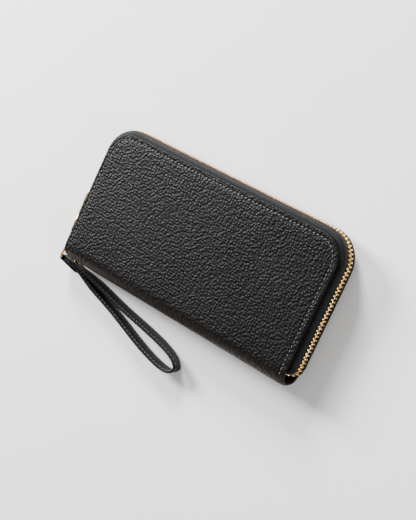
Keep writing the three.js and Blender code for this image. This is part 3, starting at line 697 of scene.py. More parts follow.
def zip_place(distance):
    """Where the zip is at a distance along it: x, y and its heading."""
    x, y, heading = -CHAIN_X + TUCK_RADIUS + TUCK_RUN, TUCK_LEFT, math.pi
    left = distance
    for length, radius in zip_moves():
        walked = min(left, length)
        if radius:
            cx, cy = x + radius * math.sin(heading), y - radius * math.cos(heading)
            heading -= walked / radius
            x, y = cx - radius * math.sin(heading), cy + radius * math.cos(heading)
        else:
            x, y = x + walked * math.cos(heading), y + walked * math.sin(heading)
        left -= walked
        if left < 1e-9:
            break
    return x, y, heading


def zip_frame(distance, height):
    """A matrix on the zip: X along it, Y outwards and Z up."""
    x, y, heading = zip_place(distance)
    return Matrix.Translation((x, y, height)) @ Matrix.Rotation(heading, 4, "Z")


def sheet_section(line, thick):
    """A closed section round a bent line of points, at the thickness of a sheet."""
    sides = ([], [])
    for n, point in enumerate(line):
        before, after = Vector(line[max(n - 1, 0)]), Vector(line[min(n + 1, len(line) - 1)])
        way = (after - before).normalized()
        normal = Vector((-way.y, way.x)) * thick / 2
        sides[0].append(Vector(point) + normal)
        sides[1].append(Vector(point) - normal)
    return sides[0] + sides[1][::-1]


def zip_tape(sizes, bulge):
    """The zip tape: sewn flat under the cover's edge, then bulging out and up to the teeth."""
    bm = bmesh.new()
    easing = 8 * MM
    turns = {0.0, ZIP_LENGTH}
    reached = 0.0
    for length, radius in zip_moves():
        steps = 14 if radius else 3
        turns |= {reached + length * n / steps for n in range(steps + 1)}
        reached += length
    turns |= {SIDE_START + easing * n / 4 for n in range(5)} | {
        ZIP_LENGTH - SIDE_START - easing * n / 4 for n in range(5)
    }
    places = sorted(turns)
    places = [d for n, d in enumerate(places) if n == 0 or d - places[n - 1] > 1e-5]
    root = BEND - sizes.chain_width / 2 + 0.2 * MM
    sections = []
    for distance in places:
        ends = min(distance, ZIP_LENGTH - distance)
        opened = min(max((ends - SIDE_START) / easing, 0), 1)
        reach = TAPE_TUCKED + (TAPE_SEWN - TAPE_TUCKED) * opened
        flat = (3.05 + 1.0 * (1 - min(4 * opened, 1))) * MM
        line = [(-reach, flat), (-TAPE_TUCKED, flat)]
        for n in range(1, 8):
            turn = math.pi / 2 * n / 7
            line.append(
                (
                    -TAPE_TUCKED + (TAPE_TUCKED + bulge) * math.sin(turn),
                    flat + 2.2 * MM * (1 - math.cos(turn))
                )
            )
        line += [(bulge * 0.97, flat + 2.8 * MM), (bulge * 0.6, root - 0.5 * MM), (0.1 * MM, root)]
        x, y, heading = zip_place(distance)
        out = (-math.sin(heading), math.cos(heading))
        sections.append([(x + out[0] * p.x, y + out[1] * p.x, p.y) for p in sheet_section(line, sizes.tape)])
    return sweep(bm, sections)


def tooth_shape(sizes):
    """One metal tooth: X along the chain, Y outwards, Z from its jaws to its head."""
    bm = bmesh.new()
    add_block(
        bm, Matrix.Translation((0, 0, 1.75 * MM)), (sizes.tooth_wide, sizes.chain_depth, 3.5 * MM),
        bevel=0.33 * MM, taper=0.84,
    )
    return bm


def tooth_row(half, sizes):
    """A row of teeth on one tape, meshing half a pitch from the other row."""
    bm = bmesh.new()
    template = bpy.data.meshes.new("tooth")
    shape = tooth_shape(sizes)
    shape.to_mesh(template)
    shape.free()
    shift = 0.25 if half == "back" else -0.25
    low, high = FIRST_TOOTH, ZIP_LENGTH - LAST_TOOTH
    first = math.ceil((low - CROWN) / sizes.tooth_pitch - shift)
    last = math.floor((high - CROWN) / sizes.tooth_pitch - shift)
    for n in range(first, last + 1):
        distance = CROWN + (n + shift) * sizes.tooth_pitch
        start = len(bm.verts)
        bm.from_mesh(template)
        verts = bm.verts[:][start:]
        bmesh.ops.transform(bm, matrix=zip_frame(distance, BEND - sizes.chain_width / 2), verts=verts)
    bpy.data.meshes.remove(template)
    return bm


def slider_shape(bm, matrix, length, width, plate, channel, post, bridge):
    """A zip slider: two plates with lips, a wedge between them, and a bridge for the pull."""
    for side in (1, -1):
        middle = Matrix.Translation((0, 0, side * (channel + plate) / 2))
        add_block(
            bm, matrix @ middle @ Matrix.Rotation(math.pi / 2, 4, "Y"), (plate, width, length),
            bevel=0.25 * plate, segments=2, taper=0.86
        )
        for edge in (1, -1):
            lip = Matrix.Translation(
                (-0.05 * length, edge * (width / 2 - 0.35 * plate), side * (channel / 2 - 0.1 * plate))
            )
            add_block(
                bm, matrix @ lip, (length * 0.72, 0.45 * plate, 0.5 * plate), bevel=0.1 * plate, segments=2
            )
    wedge = Matrix.Translation((-length / 2 + 0.2 * length, 0, 0))
    add_block(bm, matrix @ wedge, (post * 1.3, post, channel + plate), bevel=0.15 * post, segments=2)
    top = channel / 2 + plate
    rise, span, wide = bridge
    path = []
    for n in range(13):
        turn = math.pi * n / 12
        path.append(
            (-(span / 2) * math.cos(turn), top - 0.3 * MM + (rise - 0.2 * MM) * math.sin(turn) ** 0.6)
        )
    sections = []
    for n, (px, pz) in enumerate(path):
        before, after = path[max(n - 1, 0)], path[min(n + 1, 12)]
        way = Vector((after[0] - before[0], 0, after[1] - before[1])).normalized()
        normal = Vector((-way.z, 0, way.x))
        sections.append([
            matrix @ (Vector((px, 0, pz)) + normal * a + Vector((0, b, 0)))
            for a, b in rounded_section(wide, 0.8 * MM, 0.25 * MM, 2)
        ])
    part = sweep(bmesh.new(), sections)
    merge(bm, part)


def pull_shape(bm, matrix, length, width, thick, window):
    """A flat pull: a looped end round the bridge, and a plate that widens to a round tip."""
    bar = 1.0 * MM
    hole = (width / 2 - bar / 2) * 0.8
    far_bar = window + bar / 2
    sections = []
    for x, y in ((0, -hole), (0, hole), (far_bar, hole), (far_bar, -hole)):
        inward = Vector((-1 if x else 1, -math.copysign(1, y), 0))
        sections.append([
            matrix @ (Vector((x, y, 0)) + inward * a + Vector((0, 0, b)))
            for a, b in rounded_section(thick, bar * 0.9, 0.3 * MM, 2)
        ])
    merge(bm, sweep(bmesh.new(), sections, closed=True))
    plate = bmesh.new()
    near, far = window + bar * 0.4, length
    outline = [
        plate.verts.new((x, y, 0)) for x,
        y in ((near, -hole), (far, -width / 2), (far, width / 2), (near, hole))
    ]
    plate.faces.new(outline)
    bmesh.ops.bevel(
        plate, geom=outline[1:3], offset=width * 0.49, affect="VERTICES", segments=7, profile=0.5, material=-1
    )
    made = bmesh.ops.extrude_face_region(plate, geom=plate.faces[:])["geom"]
    top = [g for g in made if isinstance(g, bmesh.types.BMVert)]
    bmesh.ops.translate(plate, vec=(0, 0, thick), verts=top)
    bmesh.ops.translate(plate, vec=(0, 0, -thick / 2), verts=plate.verts)
    rims = [e for e in plate.edges if abs(e.verts[0].co.z - e.verts[1].co.z) < 1e-9]
    bmesh.ops.bevel(plate, geom=rims, offset=0.25 * MM, affect="EDGES", segments=2, profile=0.5, material=-1)
    bmesh.ops.transform(plate, matrix=matrix, verts=plate.verts)
    merge(bm, plate)


LEFT_END = Matrix(((0, 0, -1, 0), (1, 0, 0, 0), (0, -1, 0, 0), (0, 0, 0, 1)))  # X along +Y, Z outwards
COIN_ZIP = Matrix(((1, 0, 0, 0), (0, 0, 1, 0), (0, -1, 0, 0), (0, 0, 0, 1)))  # X along +X, Z along +Y

# The sliders, in millimetres: the body's length, width, plate, channel and wedge; which way it
# is turned; its bridge's rise, span and width; and the pull's length, width, thickness and window.
SLIDERS = (
    ("zip_slider", "zip_slider", (11.5, 8.8, 1.0, 3.1, 1.8), LEFT_END, (3.2, 6.2, 1.6), (26, 6, 1.2, 6.0)),
    ("coin_zip_slider", "coin_slider", (7, 5.2, 0.7, 2.0, 0.4), COIN_ZIP, (2.6, 4.4, 1.2), (13, 4, 0.9, 4.4)),
)


# ---- strap -----------------------------------------------------------------------------------

RING_BAR = Vector((-100.6, SPINE_LINE / MM + 6.2)) * MM
RING_APEX = Vector((-101.2, SPINE_LINE / MM - 2.2)) * MM
RING_MIDDLE = 7.3 * MM
RING_WIRE = 1.6 * MM
RING_HEIGHT = 12.6 * MM
SKIVED = 0.9 * MM
FOLD_RADIUS = 1.55 * MM
TAB_LEATHER = 0.8 * MM
RIVET_ALONG = 9.5  # from the ring's apex, in millimetres
RIVET_HEAD = 2.2 * MM
RIVET_DOME = 0.6 * MM
RIVET_POST = (1 * MM, 5.3 * MM)  # radius and length
SEAM_START = 14 * MM
SEAM_INSET = 1.6 * MM
STRAP_HEADING = -0.2
STRAP_AXIS = Vector((math.cos(STRAP_HEADING), math.sin(STRAP_HEADING)))
STRAP_SIDE = Vector((-STRAP_AXIS.y, STRAP_AXIS.x))

# The strap's loop on the table: x and y from the ring's apex, the lift of its lower edge, in
# millimetres, and its outward lean, in degrees.
STRAP_LOOP = (
    (32.2, -9, 0.7, -5), (44.2, -12.4, 0.2, -8), (57.8, -16.2, 0, -9), (72.1, -20.9, 0, -9),
    (85.9, -25.3, 0, -9), (98.9, -28.6, 0, -9), (109.8, -30.1, 0, -10), (115.8, -29.2, 0, -10),
    (118.4, -26.2, 0, -9), (116.2, -22.8, 0, -4), (109.8, -19.3, 0, 4), (98.6, -16.1, 0, 9),
    (88.2, -14.1, 0, 11), (78.2, -12.5, 0, 12), (68.2, -11, 0, 12), (57.5, -9.2, 0, 12),
    (46.2, -6.9, 0.2, 12), (33.2, -4.2, 0.6, 9),
)


def beside_ring(along, aside, thick):
    """A place on the strap near the ring: its middle, its lean and its thickness."""
    plan = RING_APEX + STRAP_AXIS * along * MM + STRAP_SIDE * aside
    return Vector((plan.x, plan.y, RING_MIDDLE - 0.06 * max(along - 4, 0) * MM)), 0.0, thick


def resting_height(lean, thick):
    """How high the strap's middle is when its lower edge lies on the table."""
    width = bpy.context.scene.wallet_sizes.strap_width
    return (width * math.cos(lean) + thick * math.sin(abs(lean))) / 2


def smooth_curve(knots, part):
    """A point on the smooth curve through the knots, at a knot number and a fraction."""
    index = min(int(part), len(knots) - 2)
    t = part - index
    p1, p2 = knots[index], knots[index + 1]
    p0 = knots[index - 1] if index else 2 * p1 - p2
    p3 = knots[index + 2] if index + 2 < len(knots) else 2 * p2 - p1
    dt0, dt1, dt2 = ((b - a).length ** 0.5 for a, b in ((p0, p1), (p1, p2), (p2, p3)))
    m1 = ((p1 - p0) / dt0 - (p2 - p0) / (dt0 + dt1) + (p2 - p1) / dt1) * dt1
    m2 = ((p2 - p1) / dt1 - (p3 - p1) / (dt1 + dt2) + (p3 - p2) / dt2) * dt1
    return (
        2 * t**3 - 3 * t**2 + 1
    ) * p1 + (t**3 - 2 * t**2 + t) * m1 + (3 * t**2 - 2 * t**3) * p2 + (t**3 - t**2) * m2


def strap_places(per_knot=5):
    """Places along the strap, from the end sewn at the ring, round its loop and back."""
    thick = bpy.context.scene.wallet_sizes.strap_thick
    knots = [beside_ring(along, 0, thick) for along in (2.4, 8, 16)]
    for x, y, lift, degrees in STRAP_LOOP:
        lean = math.radians(degrees)
        plan = RING_APEX + Vector((x, y)) * MM
        knots.append((Vector((plan.x, plan.y, lift * MM + resting_height(lean, thick))), lean, thick))
    knots += [
        beside_ring(along, thick + 0.3 * MM, thick) for along in (16, 10)
    ] + [beside_ring(3, FOLD_RADIUS, SKIVED)]
    middles = [middle for middle, _, _ in knots]
    places = []
    count = (len(knots) - 1) * per_knot
    for n in range(count + 1):
        low, high, part = knots[n // per_knot], knots[-(-n // per_knot)], n / per_knot % 1
        lean, wide = (low[k] + (high[k] - low[k]) * part for k in (1, 2))
        middle = smooth_curve(middles, n / per_knot)
        middle.z = max(middle.z, resting_height(lean, wide))
        places.append((middle, lean, wide))
    for n in range(9):
        angle = math.pi / 2 + math.pi * n / 8
        places.append(beside_ring(FOLD_RADIUS * math.cos(angle) / MM, FOLD_RADIUS * math.sin(angle), SKIVED))
    return places + [beside_ring(along, -FOLD_RADIUS, SKIVED) for along in (5, 10, 16)]


def strap_frames():
    """Matrices along the strap: X across its thickness, Y up its width, Z along it."""
    places = strap_places()
    frames = []
    for n, (middle, lean, thick) in enumerate(places):
        way = (places[min(n + 1, len(places) - 1)][0] - places[max(n - 1, 0)][0]).xy.normalized()
        aside = Vector((way.y, -way.x, 0))
        up = Vector((0, 0, 1))
        across = aside * math.cos(lean) + up * math.sin(lean)
        rise = up * math.cos(lean) - aside * math.sin(lean)
        turn = Matrix((across, rise, across.cross(rise))).transposed().to_4x4()
        frames.append((Matrix.Translation(middle) @ turn, thick))
    return frames


# ---- stage -----------------------------------------------------------------------------------

# Soft round lamps: name, place in metres, size in metres and power in watts.
LIGHTS = (
    ("key_light", (-1.5, 0.4, 0.76), 0.6, 84.0),
    ("upper_light", (-0.9, 1.4, 0.76), 0.6, 78.0),
    ("back_light", (-0.1, 0.9, 0.6), 0.6, 1.0),
    ("fill_light", (0.9, -0.1, 0.52), 0.28, 5.0),
)
AMBIENT = 0.25
FLOOR_HALF = 4  # metres
FLOOR_DROP = 0.05 * MM
CAMERA_LENS = 83.08  # mm, on a sensor 36 mm wide
CAMERA_SENSOR = 36
CAMERA_PLACE = (0.409742, 0.087269, 0.667750)
CAMERA_RIGHT = Vector((0.74700777, 0.42026511, -0.51512777))
CAMERA_UP = -Vector((0.41572195, -0.89995414, -0.13136896))


# ---- operators -------------------------------------------------------------------------------


class WALLET_OT_leather(bpy.types.Operator):
    """Wraps the covers and the spine in one piece of pebbled leather."""

    bl_idname = "wallet.leather"
    bl_label = "Leather wrap"
    bl_options = {"REGISTER", "UNDO"}

    def execute(self, context):
        sizes = context.scene.wallet_sizes
        rings = [
            r * MM for r in (0.06, 0.2, 0.45, 0.75, 1.1, 2.0, 2.75, 3.05, 3.3, 3.55, 3.85, 4.6, 6.4, 7.4, 10)
        ]
        bm = wrap_slab(0.0, rings, leather_top(sizes), leather_bottom(sizes))
        nodes = [
            f"{half}_cover_{layer}" for half in HALVES for layer in ("leather", "board")
        ] + ["spine_leather"]
        piece = finish_piece("leather_wrap", bm, material_of("leather"), None, *nodes, slot="black_leather")
        bend_with_cover(piece)
        for half in HALVES:
            bm = bmesh.new()
            for u, v, along in stitch_places(sizes.stitch_inset, sizes.stitch_pitch, BEND_LENGTH * 0.8):
                add_stitch(
                    bm, wrap_frame(u, v, -0.1 * MM if half == "front" else -0.33 * MM, half, along), sizes
                )
            stitches = finish_piece(
                f"{half}_cover_stitches", bm, material_of("thread"), None, slot="black_leather"
            )
            if half == "front":
                bend_with_cover(stitches)
            else:
                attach(stitches, "back_cover")
        return {"FINISHED"}


class WALLET_OT_lining(bpy.types.Operator):
    """Lines the covers and the spine with satin twill."""

    bl_idname = "wallet.lining"
    bl_label = "Lining"
    bl_options = {"REGISTER", "UNDO"}

    def execute(self, context):
        sizes = context.scene.wallet_sizes
        rings = [r * MM for r in (0.5, 1.5, 6)]
        bm = wrap_slab(sizes.lining_inset, rings, lambda d, v: -2.1 * MM, lambda d, v: -2.5 * MM)
        nodes = ("back_cover_lining", "spine_lining", "front_cover_lining")
        piece = finish_piece("cover_lining", bm, material_of("twill"), None, *nodes, slot="black_lining")
        bend_with_cover(piece)
        return {"FINISHED"}


class WALLET_OT_zip(bpy.types.Operator):
    """Sews the zip tapes round both covers and sets their metal teeth and stops."""

    bl_idname = "wallet.zip"
    bl_label = "Zip"
    bl_options = {"REGISTER", "UNDO"}

    def execute(self, context):
        sizes = context.scene.wallet_sizes
        bulges = {"back": 0.9 * MM, "front": 0.2 * MM}  # the lower tape stands out further
        for half in HALVES:
            body = f"{half}_cover"
            finish_piece(
                f"{half}_tape", turned(
                    zip_tape(sizes, bulges[half]), half
                ), material_of("tape"), body, f"{half}_zip_tape",
                slot="black_zip_tape",
            )
            row = turned(tooth_row(half, sizes), half)
            finish_piece(
                f"{half}_teeth", row, material_of("gold"), body, f"{half}_zip_teeth", smooth=False,
                slot="gold_metal"
            )
            bm = bmesh.new()
            frame_at = zip_frame(SIDE_START - 1.4 * MM, BEND - sizes.chain_width / 4 - 0.15 * MM)
            add_block(
                bm, frame_at, (STOP_LONG, sizes.chain_depth + STOP_PROUD, sizes.chain_width / 2 - 0.3 * MM),
                0.4 * MM, 3
            )
            finish_piece(
                f"{half}_top_stop", turned(bm, half), material_of("gold"), body, f"{half}_zip_top_stop",
                slot="gold_metal"
            )
        bm = bmesh.new()
        frame_at = zip_frame(ZIP_LENGTH - 1.1 * MM, BEND)
        add_block(bm, frame_at, (STOP_LONG, sizes.chain_depth + STOP_PROUD, sizes.chain_width), 0.45 * MM, 3)
        finish_piece(
            "bottom_stop", bm, material_of("gold"), "back_cover", "zip_bottom_stop", slot="gold_metal"
        )
        return {"FINISHED"}


class WALLET_OT_sliders(bpy.types.Operator):
    """Makes the two zip sliders and their pulls."""

    bl_idname = "wallet.sliders"
    bl_label = "Sliders and pulls"
    bl_options = {"REGISTER", "UNDO"}

    def execute(self, context):
        sizes = context.scene.wallet_sizes
        for name, body, size, turn, bridge, shape in SLIDERS:
            low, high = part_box(name)
            middle = (low + high) / 2
            if turn is LEFT_END:
                middle.x = -CHAIN_X
            else:
                middle.y = (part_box("coin_zip_coil_back")[0].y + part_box("coin_zip_coil_back")[1].y) / 2
            bm = bmesh.new()
            length, width, plate, channel, post = (value * MM for value in size)
            slider_shape(
                bm, Matrix.Translation(middle) @ turn, length, width, plate, channel, post,
                [b * MM for b in bridge]
            )
            finish_piece(f"{name}_body", bm, material_of("gold"), body, name, slot="gold_metal")
            pull_node = name.replace("slider", "pull")
            pull_body = body.replace("slider", "pull")
            anchor = Vector(
                next(j for j in frame["record"]["behaviour"]["joints"] if j["child"] == pull_body)["pos_m"]
            )
            bm = bmesh.new()
            pull_shape(bm, Matrix.Translation(anchor) @ turn, *(value * MM for value in shape))
            finish_piece(f"{pull_node}_tab", bm, material_of("gold"), pull_body, pull_node, slot="gold_metal")
        return {"FINISHED"}


class WALLET_OT_ring(bpy.types.Operator):
    """Bends the ring, and folds its leather tab round it."""

    bl_idname = "wallet.ring"
    bl_label = "Ring and tab"
    bl_options = {"REGISTER", "UNDO"}

    def execute(self, context):
        sizes = context.scene.wallet_sizes
        reach = (RING_APEX - RING_BAR).length
        along = (RING_APEX - RING_BAR).normalized()
        half, radius = RING_HEIGHT / 2, 1.6 * MM
        path = []
        for x, z, turn, bend in (
            (reach - radius, half - radius, 90, radius), (reach - radius, radius - half, 0, radius),
            (0.9 * MM, 0.9 * MM - half, -90, 0.9 * MM), (0.9 * MM, half - 0.9 * MM, -180, 0.9 * MM),
        ):
            for n in range(7):
                angle = math.radians(turn - 90 * n / 6)
                path.append((x + bend * math.cos(angle), z + bend * math.sin(angle)))
        sections = []
        for n, point in enumerate(path):
            before, after = Vector(path[n - 1]), Vector(path[(n + 1) % len(path)])
            way = (after - before).normalized()
            normal = Vector((-way.y, way.x))
            ring = []
            for k in range(12):
                angle = 2 * math.pi * k / 12
                flat = Vector(point) + normal * RING_WIRE / 2 * math.cos(angle)
                plan = RING_BAR + along * flat.x + Vector(
                    (-along.y, along.x)
                ) * RING_WIRE / 2 * math.sin(angle)
                ring.append((plan.x, plan.y, RING_MIDDLE + flat.y))
            sections.append(ring)
        bm = sweep(bmesh.new(), sections, closed=True)
        finish_piece("ring", bm, material_of("gold"), "ring", "strap_ring", slot="gold_metal")

        low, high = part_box("ring_tab")
        leather = TAB_LEATHER
        eye = RING_WIRE / 2 + 0.3 * MM + leather / 2
        centre = RING_BAR
        line = [(high.x, centre.y - leather * 0.52), (high.x - 4 * MM, centre.y - leather * 0.52)]
        lap = math.asin(leather * 0.52 / eye)
        for n in range(21):
            angle = -lap - (2 * math.pi - 2 * lap) * n / 20
            line.append((centre.x + eye * math.cos(angle), centre.y + eye * math.sin(angle)))
        line += [(high.x - 4 * MM, centre.y + leather * 0.52), (high.x, centre.y + leather * 0.52)]
        sections = []
        for drop, thin in ((0, 0.8), (0.12, 1), (-0.12, 1), (0, 0.8)):
            z = (low.z if len(sections) < 2 else high.z) + drop * MM
            sections.append([(p.x, p.y, z) for p in sheet_section(line, leather * thin)])
        bm = sweep(bmesh.new(), sections)
        finish_piece("tab", bm, material_of("fine leather"), "back_cover", "ring_tab", slot="black_leather")
        return {"FINISHED"}


class WALLET_OT_strap(bpy.types.Operator):
    """Folds the wrist strap round the ring, sews it and rivets it."""

    bl_idname = "wallet.strap"
    bl_label = "Wrist strap"
    bl_options = {"REGISTER", "UNDO"}

    def execute(self, context):
        sizes = context.scene.wallet_sizes
        frames = strap_frames()
        sections = []
        for matrix, thick in frames:
            section = rounded_section(sizes.strap_width, thick, 0.35 * thick)
            sections.append([matrix @ Vector((x, y, 0)) for x, y in section])
        piece = finish_piece(
            "strap", sweep(bmesh.new(), sections), material_of("fine leather"), "strap", "wrist_strap",
            slot="black_leather"
        )

        bm = bmesh.new()
        walked, due = 0.0, SEAM_START
        for n in range(1, len(frames) - 14):
            (a, thick), (b, _) = frames[n - 1], frames[n]
            step = (b.translation - a.translation).length
            while walked + step > due:
                part = (due - walked) / step
                matrix = a.lerp(b, part)
                for side in (1, -1):
                    for edge in (1, -1):
                        place = Matrix.Translation(
                            (side * thick / 2, edge * (sizes.strap_width / 2 - SEAM_INSET), 0)
                        )
                        add_stitch(bm, matrix @ place @ Matrix.Rotation(-math.pi / 2 * side, 4, "Y"), sizes)
                due += sizes.stitch_pitch
            walked += step
        finish_piece("strap_stitches", bm, material_of("thread"), "strap", slot="black_leather")

        bm = bmesh.new()
        middle, _, _ = beside_ring(RIVET_ALONG, 0, 0)
        turn = Matrix((
            (
                STRAP_AXIS.x, 0, STRAP_SIDE.x, 0
            ), (STRAP_AXIS.y, 0, STRAP_SIDE.y, 0), (0, 1, 0, 0), (0, 0, 0, 1),
        ))
        for at, sign in ((3.0, 1), (-2.3, -1)):
            head = bmesh.new()
            bmesh.ops.create_uvsphere(head, u_segments=20, v_segments=10, radius=1)
            bmesh.ops.bisect_plane(
                head, geom=head.verts[:] + head.edges[:] + head.faces[:], plane_co=(
                    0, 0, 0
                ), plane_no=(0, 0, 1), clear_inner=True
            )
            bmesh.ops.contextual_create(head, geom=[e for e in head.edges if e.is_boundary])
            scale = Matrix.Diagonal((RIVET_HEAD, RIVET_HEAD, RIVET_DOME * sign, 1))
            place = Matrix.Translation(middle) @ turn @ Matrix.Translation((0, 0, at * MM))
            bmesh.ops.transform(head, matrix=place @ scale, verts=head.verts)
            merge(bm, head)
        post = bmesh.new()
        radius, depth = RIVET_POST
        bmesh.ops.create_cone(post, cap_ends=True, segments=16, radius1=radius, radius2=radius, depth=depth)
        bmesh.ops.transform(
            post, matrix=Matrix.Translation(middle) @ turn @ Matrix.Translation((0, 0, 0.35 * MM)),
            verts=post.verts
        )
        merge(bm, post)
        finish_piece("rivet", bm, material_of("gold"), "strap", "strap_rivet", slot="gold_metal")
        return {"FINISHED"}


class WALLET_OT_pockets(bpy.types.Operator):
    """Sews the slip pockets and the card slots on both sides."""

    bl_idname = "wallet.pockets"
    bl_label = "Pockets and card slots"
    bl_options = {"REGISTER", "UNDO"}

    def execute(self, context):
        sizes = context.scene.wallet_sizes
        for half in HALVES:
            body = f"{half}_cover"
            low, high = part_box("back_slip_pocket")
            bm = bmesh.new()
            add_panel(bm, low.xy, high.xy, low.z, high.z - low.z, corner=4 * MM)
            piece = finish_piece(
                f"{half}_slip_panel", turned(
                    bm, half
                ), material_of("twill"), body, f"{half}_slip_pocket", slot="black_lining"
            )
            slots, threads = bmesh.new(), bmesh.new()
            nodes = []
            for side in ("left", "right"):
                for row in (1, 2, 3):
                    node = f"back_card_slot_{side}_{row}"
                    nodes.append(node.replace("back", half))
                    low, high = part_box(node)
                    thick = 0.35 * MM
                    climb = high.z - low.z - thick
                    add_panel(slots, low.xy, high.xy, low.z, thick, climb=climb, corner=2.5 * MM)
                    count = int((high.x - low.x - 6 * MM) / 2.4 / MM)
                    for n in range(count):
                        x = low.x + 3 * MM + (high.x - low.x - 6 * MM) * (n + 0.5) / count
                        y = high.y - 1.8 * MM
                        z = low.z + thick + climb * (y - low.y) / (high.y - low.y)
                        scale = Matrix.Diagonal((0.8, 0.8, 0.5, 1))
                        add_stitch(threads, Matrix.Translation((x, y, z)) @ scale, sizes)
            finish_piece(
                f"{half}_card_slots", turned(slots, half), material_of("fine leather"), body, *nodes,
                slot="black_leather"
            )
            finish_piece(
                f"{half}_slot_stitches", turned(threads, half), material_of("thread"), body,
                slot="black_leather"
            )
        return {"FINISHED"}


class WALLET_OT_coin_pocket(bpy.types.Operator):
    """Makes the zipped coin pocket that hangs between the covers."""

    bl_idname = "wallet.coin_pocket"
    bl_label = "Coin pocket"
    bl_options = {"REGISTER", "UNDO"}

    def execute(self, context):
        sizes = context.scene.wallet_sizes
        for half in HALVES:
            low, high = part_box(f"coin_pocket_{half}_panel")
            bm = bmesh.new()
            add_panel(bm, low.xy, high.xy, low.z, high.z - low.z)
            finish_piece(
                f"coin_{half}_leather", bm, material_of(
                    "fine leather"
                ), "coin_pocket", f"coin_pocket_{half}_panel",
                slot="black_leather",
            )
            low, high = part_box("coin_zip_tape_back")
            foot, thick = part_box("coin_pocket_back_panel")[1].y - 4 * MM, 0.3 * MM
            inner = BEND - 0.55 * MM
            line = [(foot, inner), (foot + 4 * MM, inner)]
            line += [
                (foot + 4.8 * MM, inner - 0.3 * MM), (foot + 6.2 * MM, low.z + 0.5 * MM),
                (foot + 7 * MM, low.z + thick / 2)
            ]
            line += [
                (high.y - 1.2 * MM, low.z + thick / 2),
                (high.y - thick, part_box("coin_zip_coil_back")[0].z - 0.45 * MM)
            ]
            sections = [[(x, p.x, p.y) for p in sheet_section(line, thick)] for x in (low.x, high.x)]
            bm = sweep(bmesh.new(), sections)
            finish_piece(
                f"coin_{half}_tape", turned(
                    bm, half
                ), material_of("tape"), "coin_pocket", f"coin_zip_tape_{half}",
                slot="black_zip_tape",
            )
            low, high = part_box("coin_zip_coil_back")
            bm = bmesh.new()
            pitch = 1.3 * MM
            count = int((high.x - low.x) / pitch)
            bar = (low + high) / 2
            add_block(
                bm, Matrix.Translation(bar), (high.x - low.x, (high.y - low.y) * 0.5, (high.z - low.z) * 0.5),
                0.2 * MM
            )
            for n in range(count):
                x = low.x + pitch * (n + 0.5)
                add_block(
                    bm, Matrix.Translation((x, bar.y, bar.z)), (
                        pitch * 0.62, high.y - low.y, high.z - low.z
                    ), bevel=0.2 * MM
                )
            finish_piece(
                f"coin_{half}_coil", turned(
                    bm, half
                ), material_of("gold"), "coin_pocket", f"coin_zip_coil_{half}",
                smooth=False, slot="gold_metal",
            )
        for side in ("left", "right"):
            low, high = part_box(f"coin_zip_stop_{side}")
            bm = bmesh.new()
            add_block(bm, Matrix.Translation((low + high) / 2), tuple(high - low), 0.35 * MM, 3)
            finish_piece(
                f"coin_stop_{side}", bm, material_of("gold"), "coin_pocket", f"coin_zip_stop_{side}",
                slot="gold_metal"
            )
        return {"FINISHED"}


class WALLET_OT_gussets(bpy.types.Operator):
    """Pleats the gussets between the covers and the coin pocket."""

    bl_idname = "wallet.gussets"
    bl_label = "Gussets"
    bl_options = {"REGISTER", "UNDO"}

    def execute(self, context):
        sizes = context.scene.wallet_sizes
        thick = 0.5 * MM
        for side, sign in (("left", -1), ("right", 1)):
            for half in HALVES:
                low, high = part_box("gusset_left_back")
                foot, panel = low.z + thick / 2 + 0.05 * MM, high.z - thick / 2
                edge = low.x
                profile = [(edge, foot), (edge + 2.7 * MM, foot), (edge + 4 * MM, foot + 0.6 * MM)]
                fold = high.x - edge - 0.4 * MM
                for n in range(9):
                    turn = math.pi * (n / 8 - 0.5)
                    profile.append(
                        (
                            edge + fold - 1.1 * MM + 0.9 * MM * math.cos(turn),
                            (foot + panel) / 2 + 0.55 * MM + 1.1 * MM * math.sin(turn)
                        )
                    )
                profile += [(edge + 9.5 * MM, panel - 0.5 * MM), (edge + 12 * MM, panel - 0.05 * MM)]
                sections = []
                for n in range(9):
                    y = low.y + (high.y - low.y) * n / 8
                    sections.append(
                        [(-sign * p.x if sign > 0 else p.x, y, p.y) for p in sheet_section(profile, thick)]
                    )
                bm = turned(sweep(bmesh.new(), sections), half)
                node = f"gusset_{side}_{half}"
                piece = finish_piece(
                    f"{side}_{half}_gusset", bm, material_of("twill"), None, node, slot="black_lining"
                )
                if half == "back":
                    open_gusset(piece)
                else:
                    open_gusset(piece)
        return {"FINISHED"}


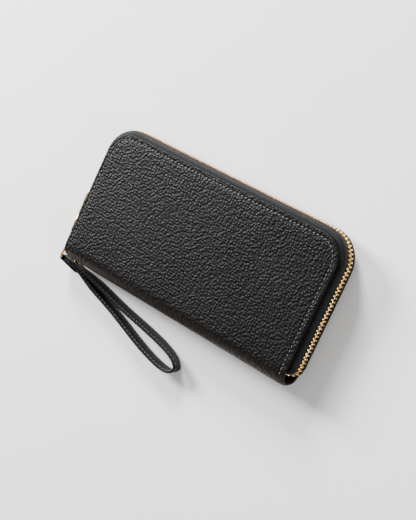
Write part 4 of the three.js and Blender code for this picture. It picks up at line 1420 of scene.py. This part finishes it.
class WALLET_OT_stage(bpy.types.Operator):
    """Sets the floor, the soft lights and the camera."""

    bl_idname = "wallet.stage"
    bl_label = "Stage"
    bl_options = {"REGISTER", "UNDO"}

    def execute(self, context):
        scene = context.scene
        bm = bmesh.new()
        bmesh.ops.create_grid(bm, x_segments=1, y_segments=1, size=FLOOR_HALF)
        bmesh.ops.translate(bm, vec=(0, 0, -FLOOR_DROP), verts=bm.verts)
        floor = finish_piece("floor", bm, material_of("floor"), None, smooth=False)

        world = bpy.data.worlds.new("studio")
        world.use_nodes = True
        world.node_tree.nodes["Background"].inputs["Color"].default_value = (1, 1, 1, 1)
        world.node_tree.nodes["Background"].inputs["Strength"].default_value = AMBIENT
        scene.world = world
        for name, place, size, power in LIGHTS:
            light = bpy.data.lights.new(name, "AREA")
            light.shape, light.size, light.energy = "DISK", size, power
            lamp = bpy.data.objects.new(name, light)
            lamp.location = place
            lamp.rotation_euler = (-Vector(place)).to_track_quat("-Z", "Y").to_euler()
            scene.collection.objects.link(lamp)

        camera = bpy.data.cameras.new("camera")
        camera.sensor_fit = "AUTO"
        camera.sensor_width = CAMERA_SENSOR
        camera.lens = CAMERA_LENS
        view = bpy.data.objects.new("camera", camera)
        turn = Matrix((CAMERA_RIGHT, CAMERA_UP, CAMERA_RIGHT.cross(CAMERA_UP))).transposed().to_4x4()
        view.matrix_world = Matrix.Translation(CAMERA_PLACE) @ turn
        scene.collection.objects.link(view)
        scene.camera = view
        return {"FINISHED"}


OPERATORS = (
    WALLET_OT_leather, WALLET_OT_lining, WALLET_OT_zip, WALLET_OT_sliders, WALLET_OT_ring, WALLET_OT_strap,
    WALLET_OT_pockets, WALLET_OT_coin_pocket, WALLET_OT_gussets, WALLET_OT_stage,
)


class WALLET_PT_panel(bpy.types.Panel):
    """Lists the wallet's sizes, colours and steps."""

    bl_label = "Wallet"
    bl_idname = "WALLET_PT_panel"
    bl_space_type = "VIEW_3D"
    bl_region_type = "UI"
    bl_category = "Wallet"

    def draw(self, context):
        for group in (context.scene.wallet_sizes, context.scene.wallet_colours):
            for name in type(group).__annotations__:
                self.layout.prop(group, name)
        for operator in OPERATORS:
            self.layout.operator(operator.bl_idname)


CLASSES = (WalletSizes, WalletColours, *OPERATORS, WALLET_PT_panel)


def register():
    """Registers the classes and puts the sizes and colours on the scene."""
    for made in CLASSES:
        bpy.utils.register_class(made)
    bpy.types.Scene.wallet_sizes = bpy.props.PointerProperty(type=WalletSizes)
    bpy.types.Scene.wallet_colours = bpy.props.PointerProperty(type=WalletColours)


def unregister():
    """Takes them off again."""
    del bpy.types.Scene.wallet_colours
    del bpy.types.Scene.wallet_sizes
    for made in reversed(CLASSES):
        bpy.utils.unregister_class(made)


def main():
    """Makes the wallet and its stage."""
    register()
    for operator in OPERATORS:
        group, name = operator.bl_idname.split(".")
        getattr(getattr(bpy.ops, group), name)()


if __name__ == "__main__":
    main()
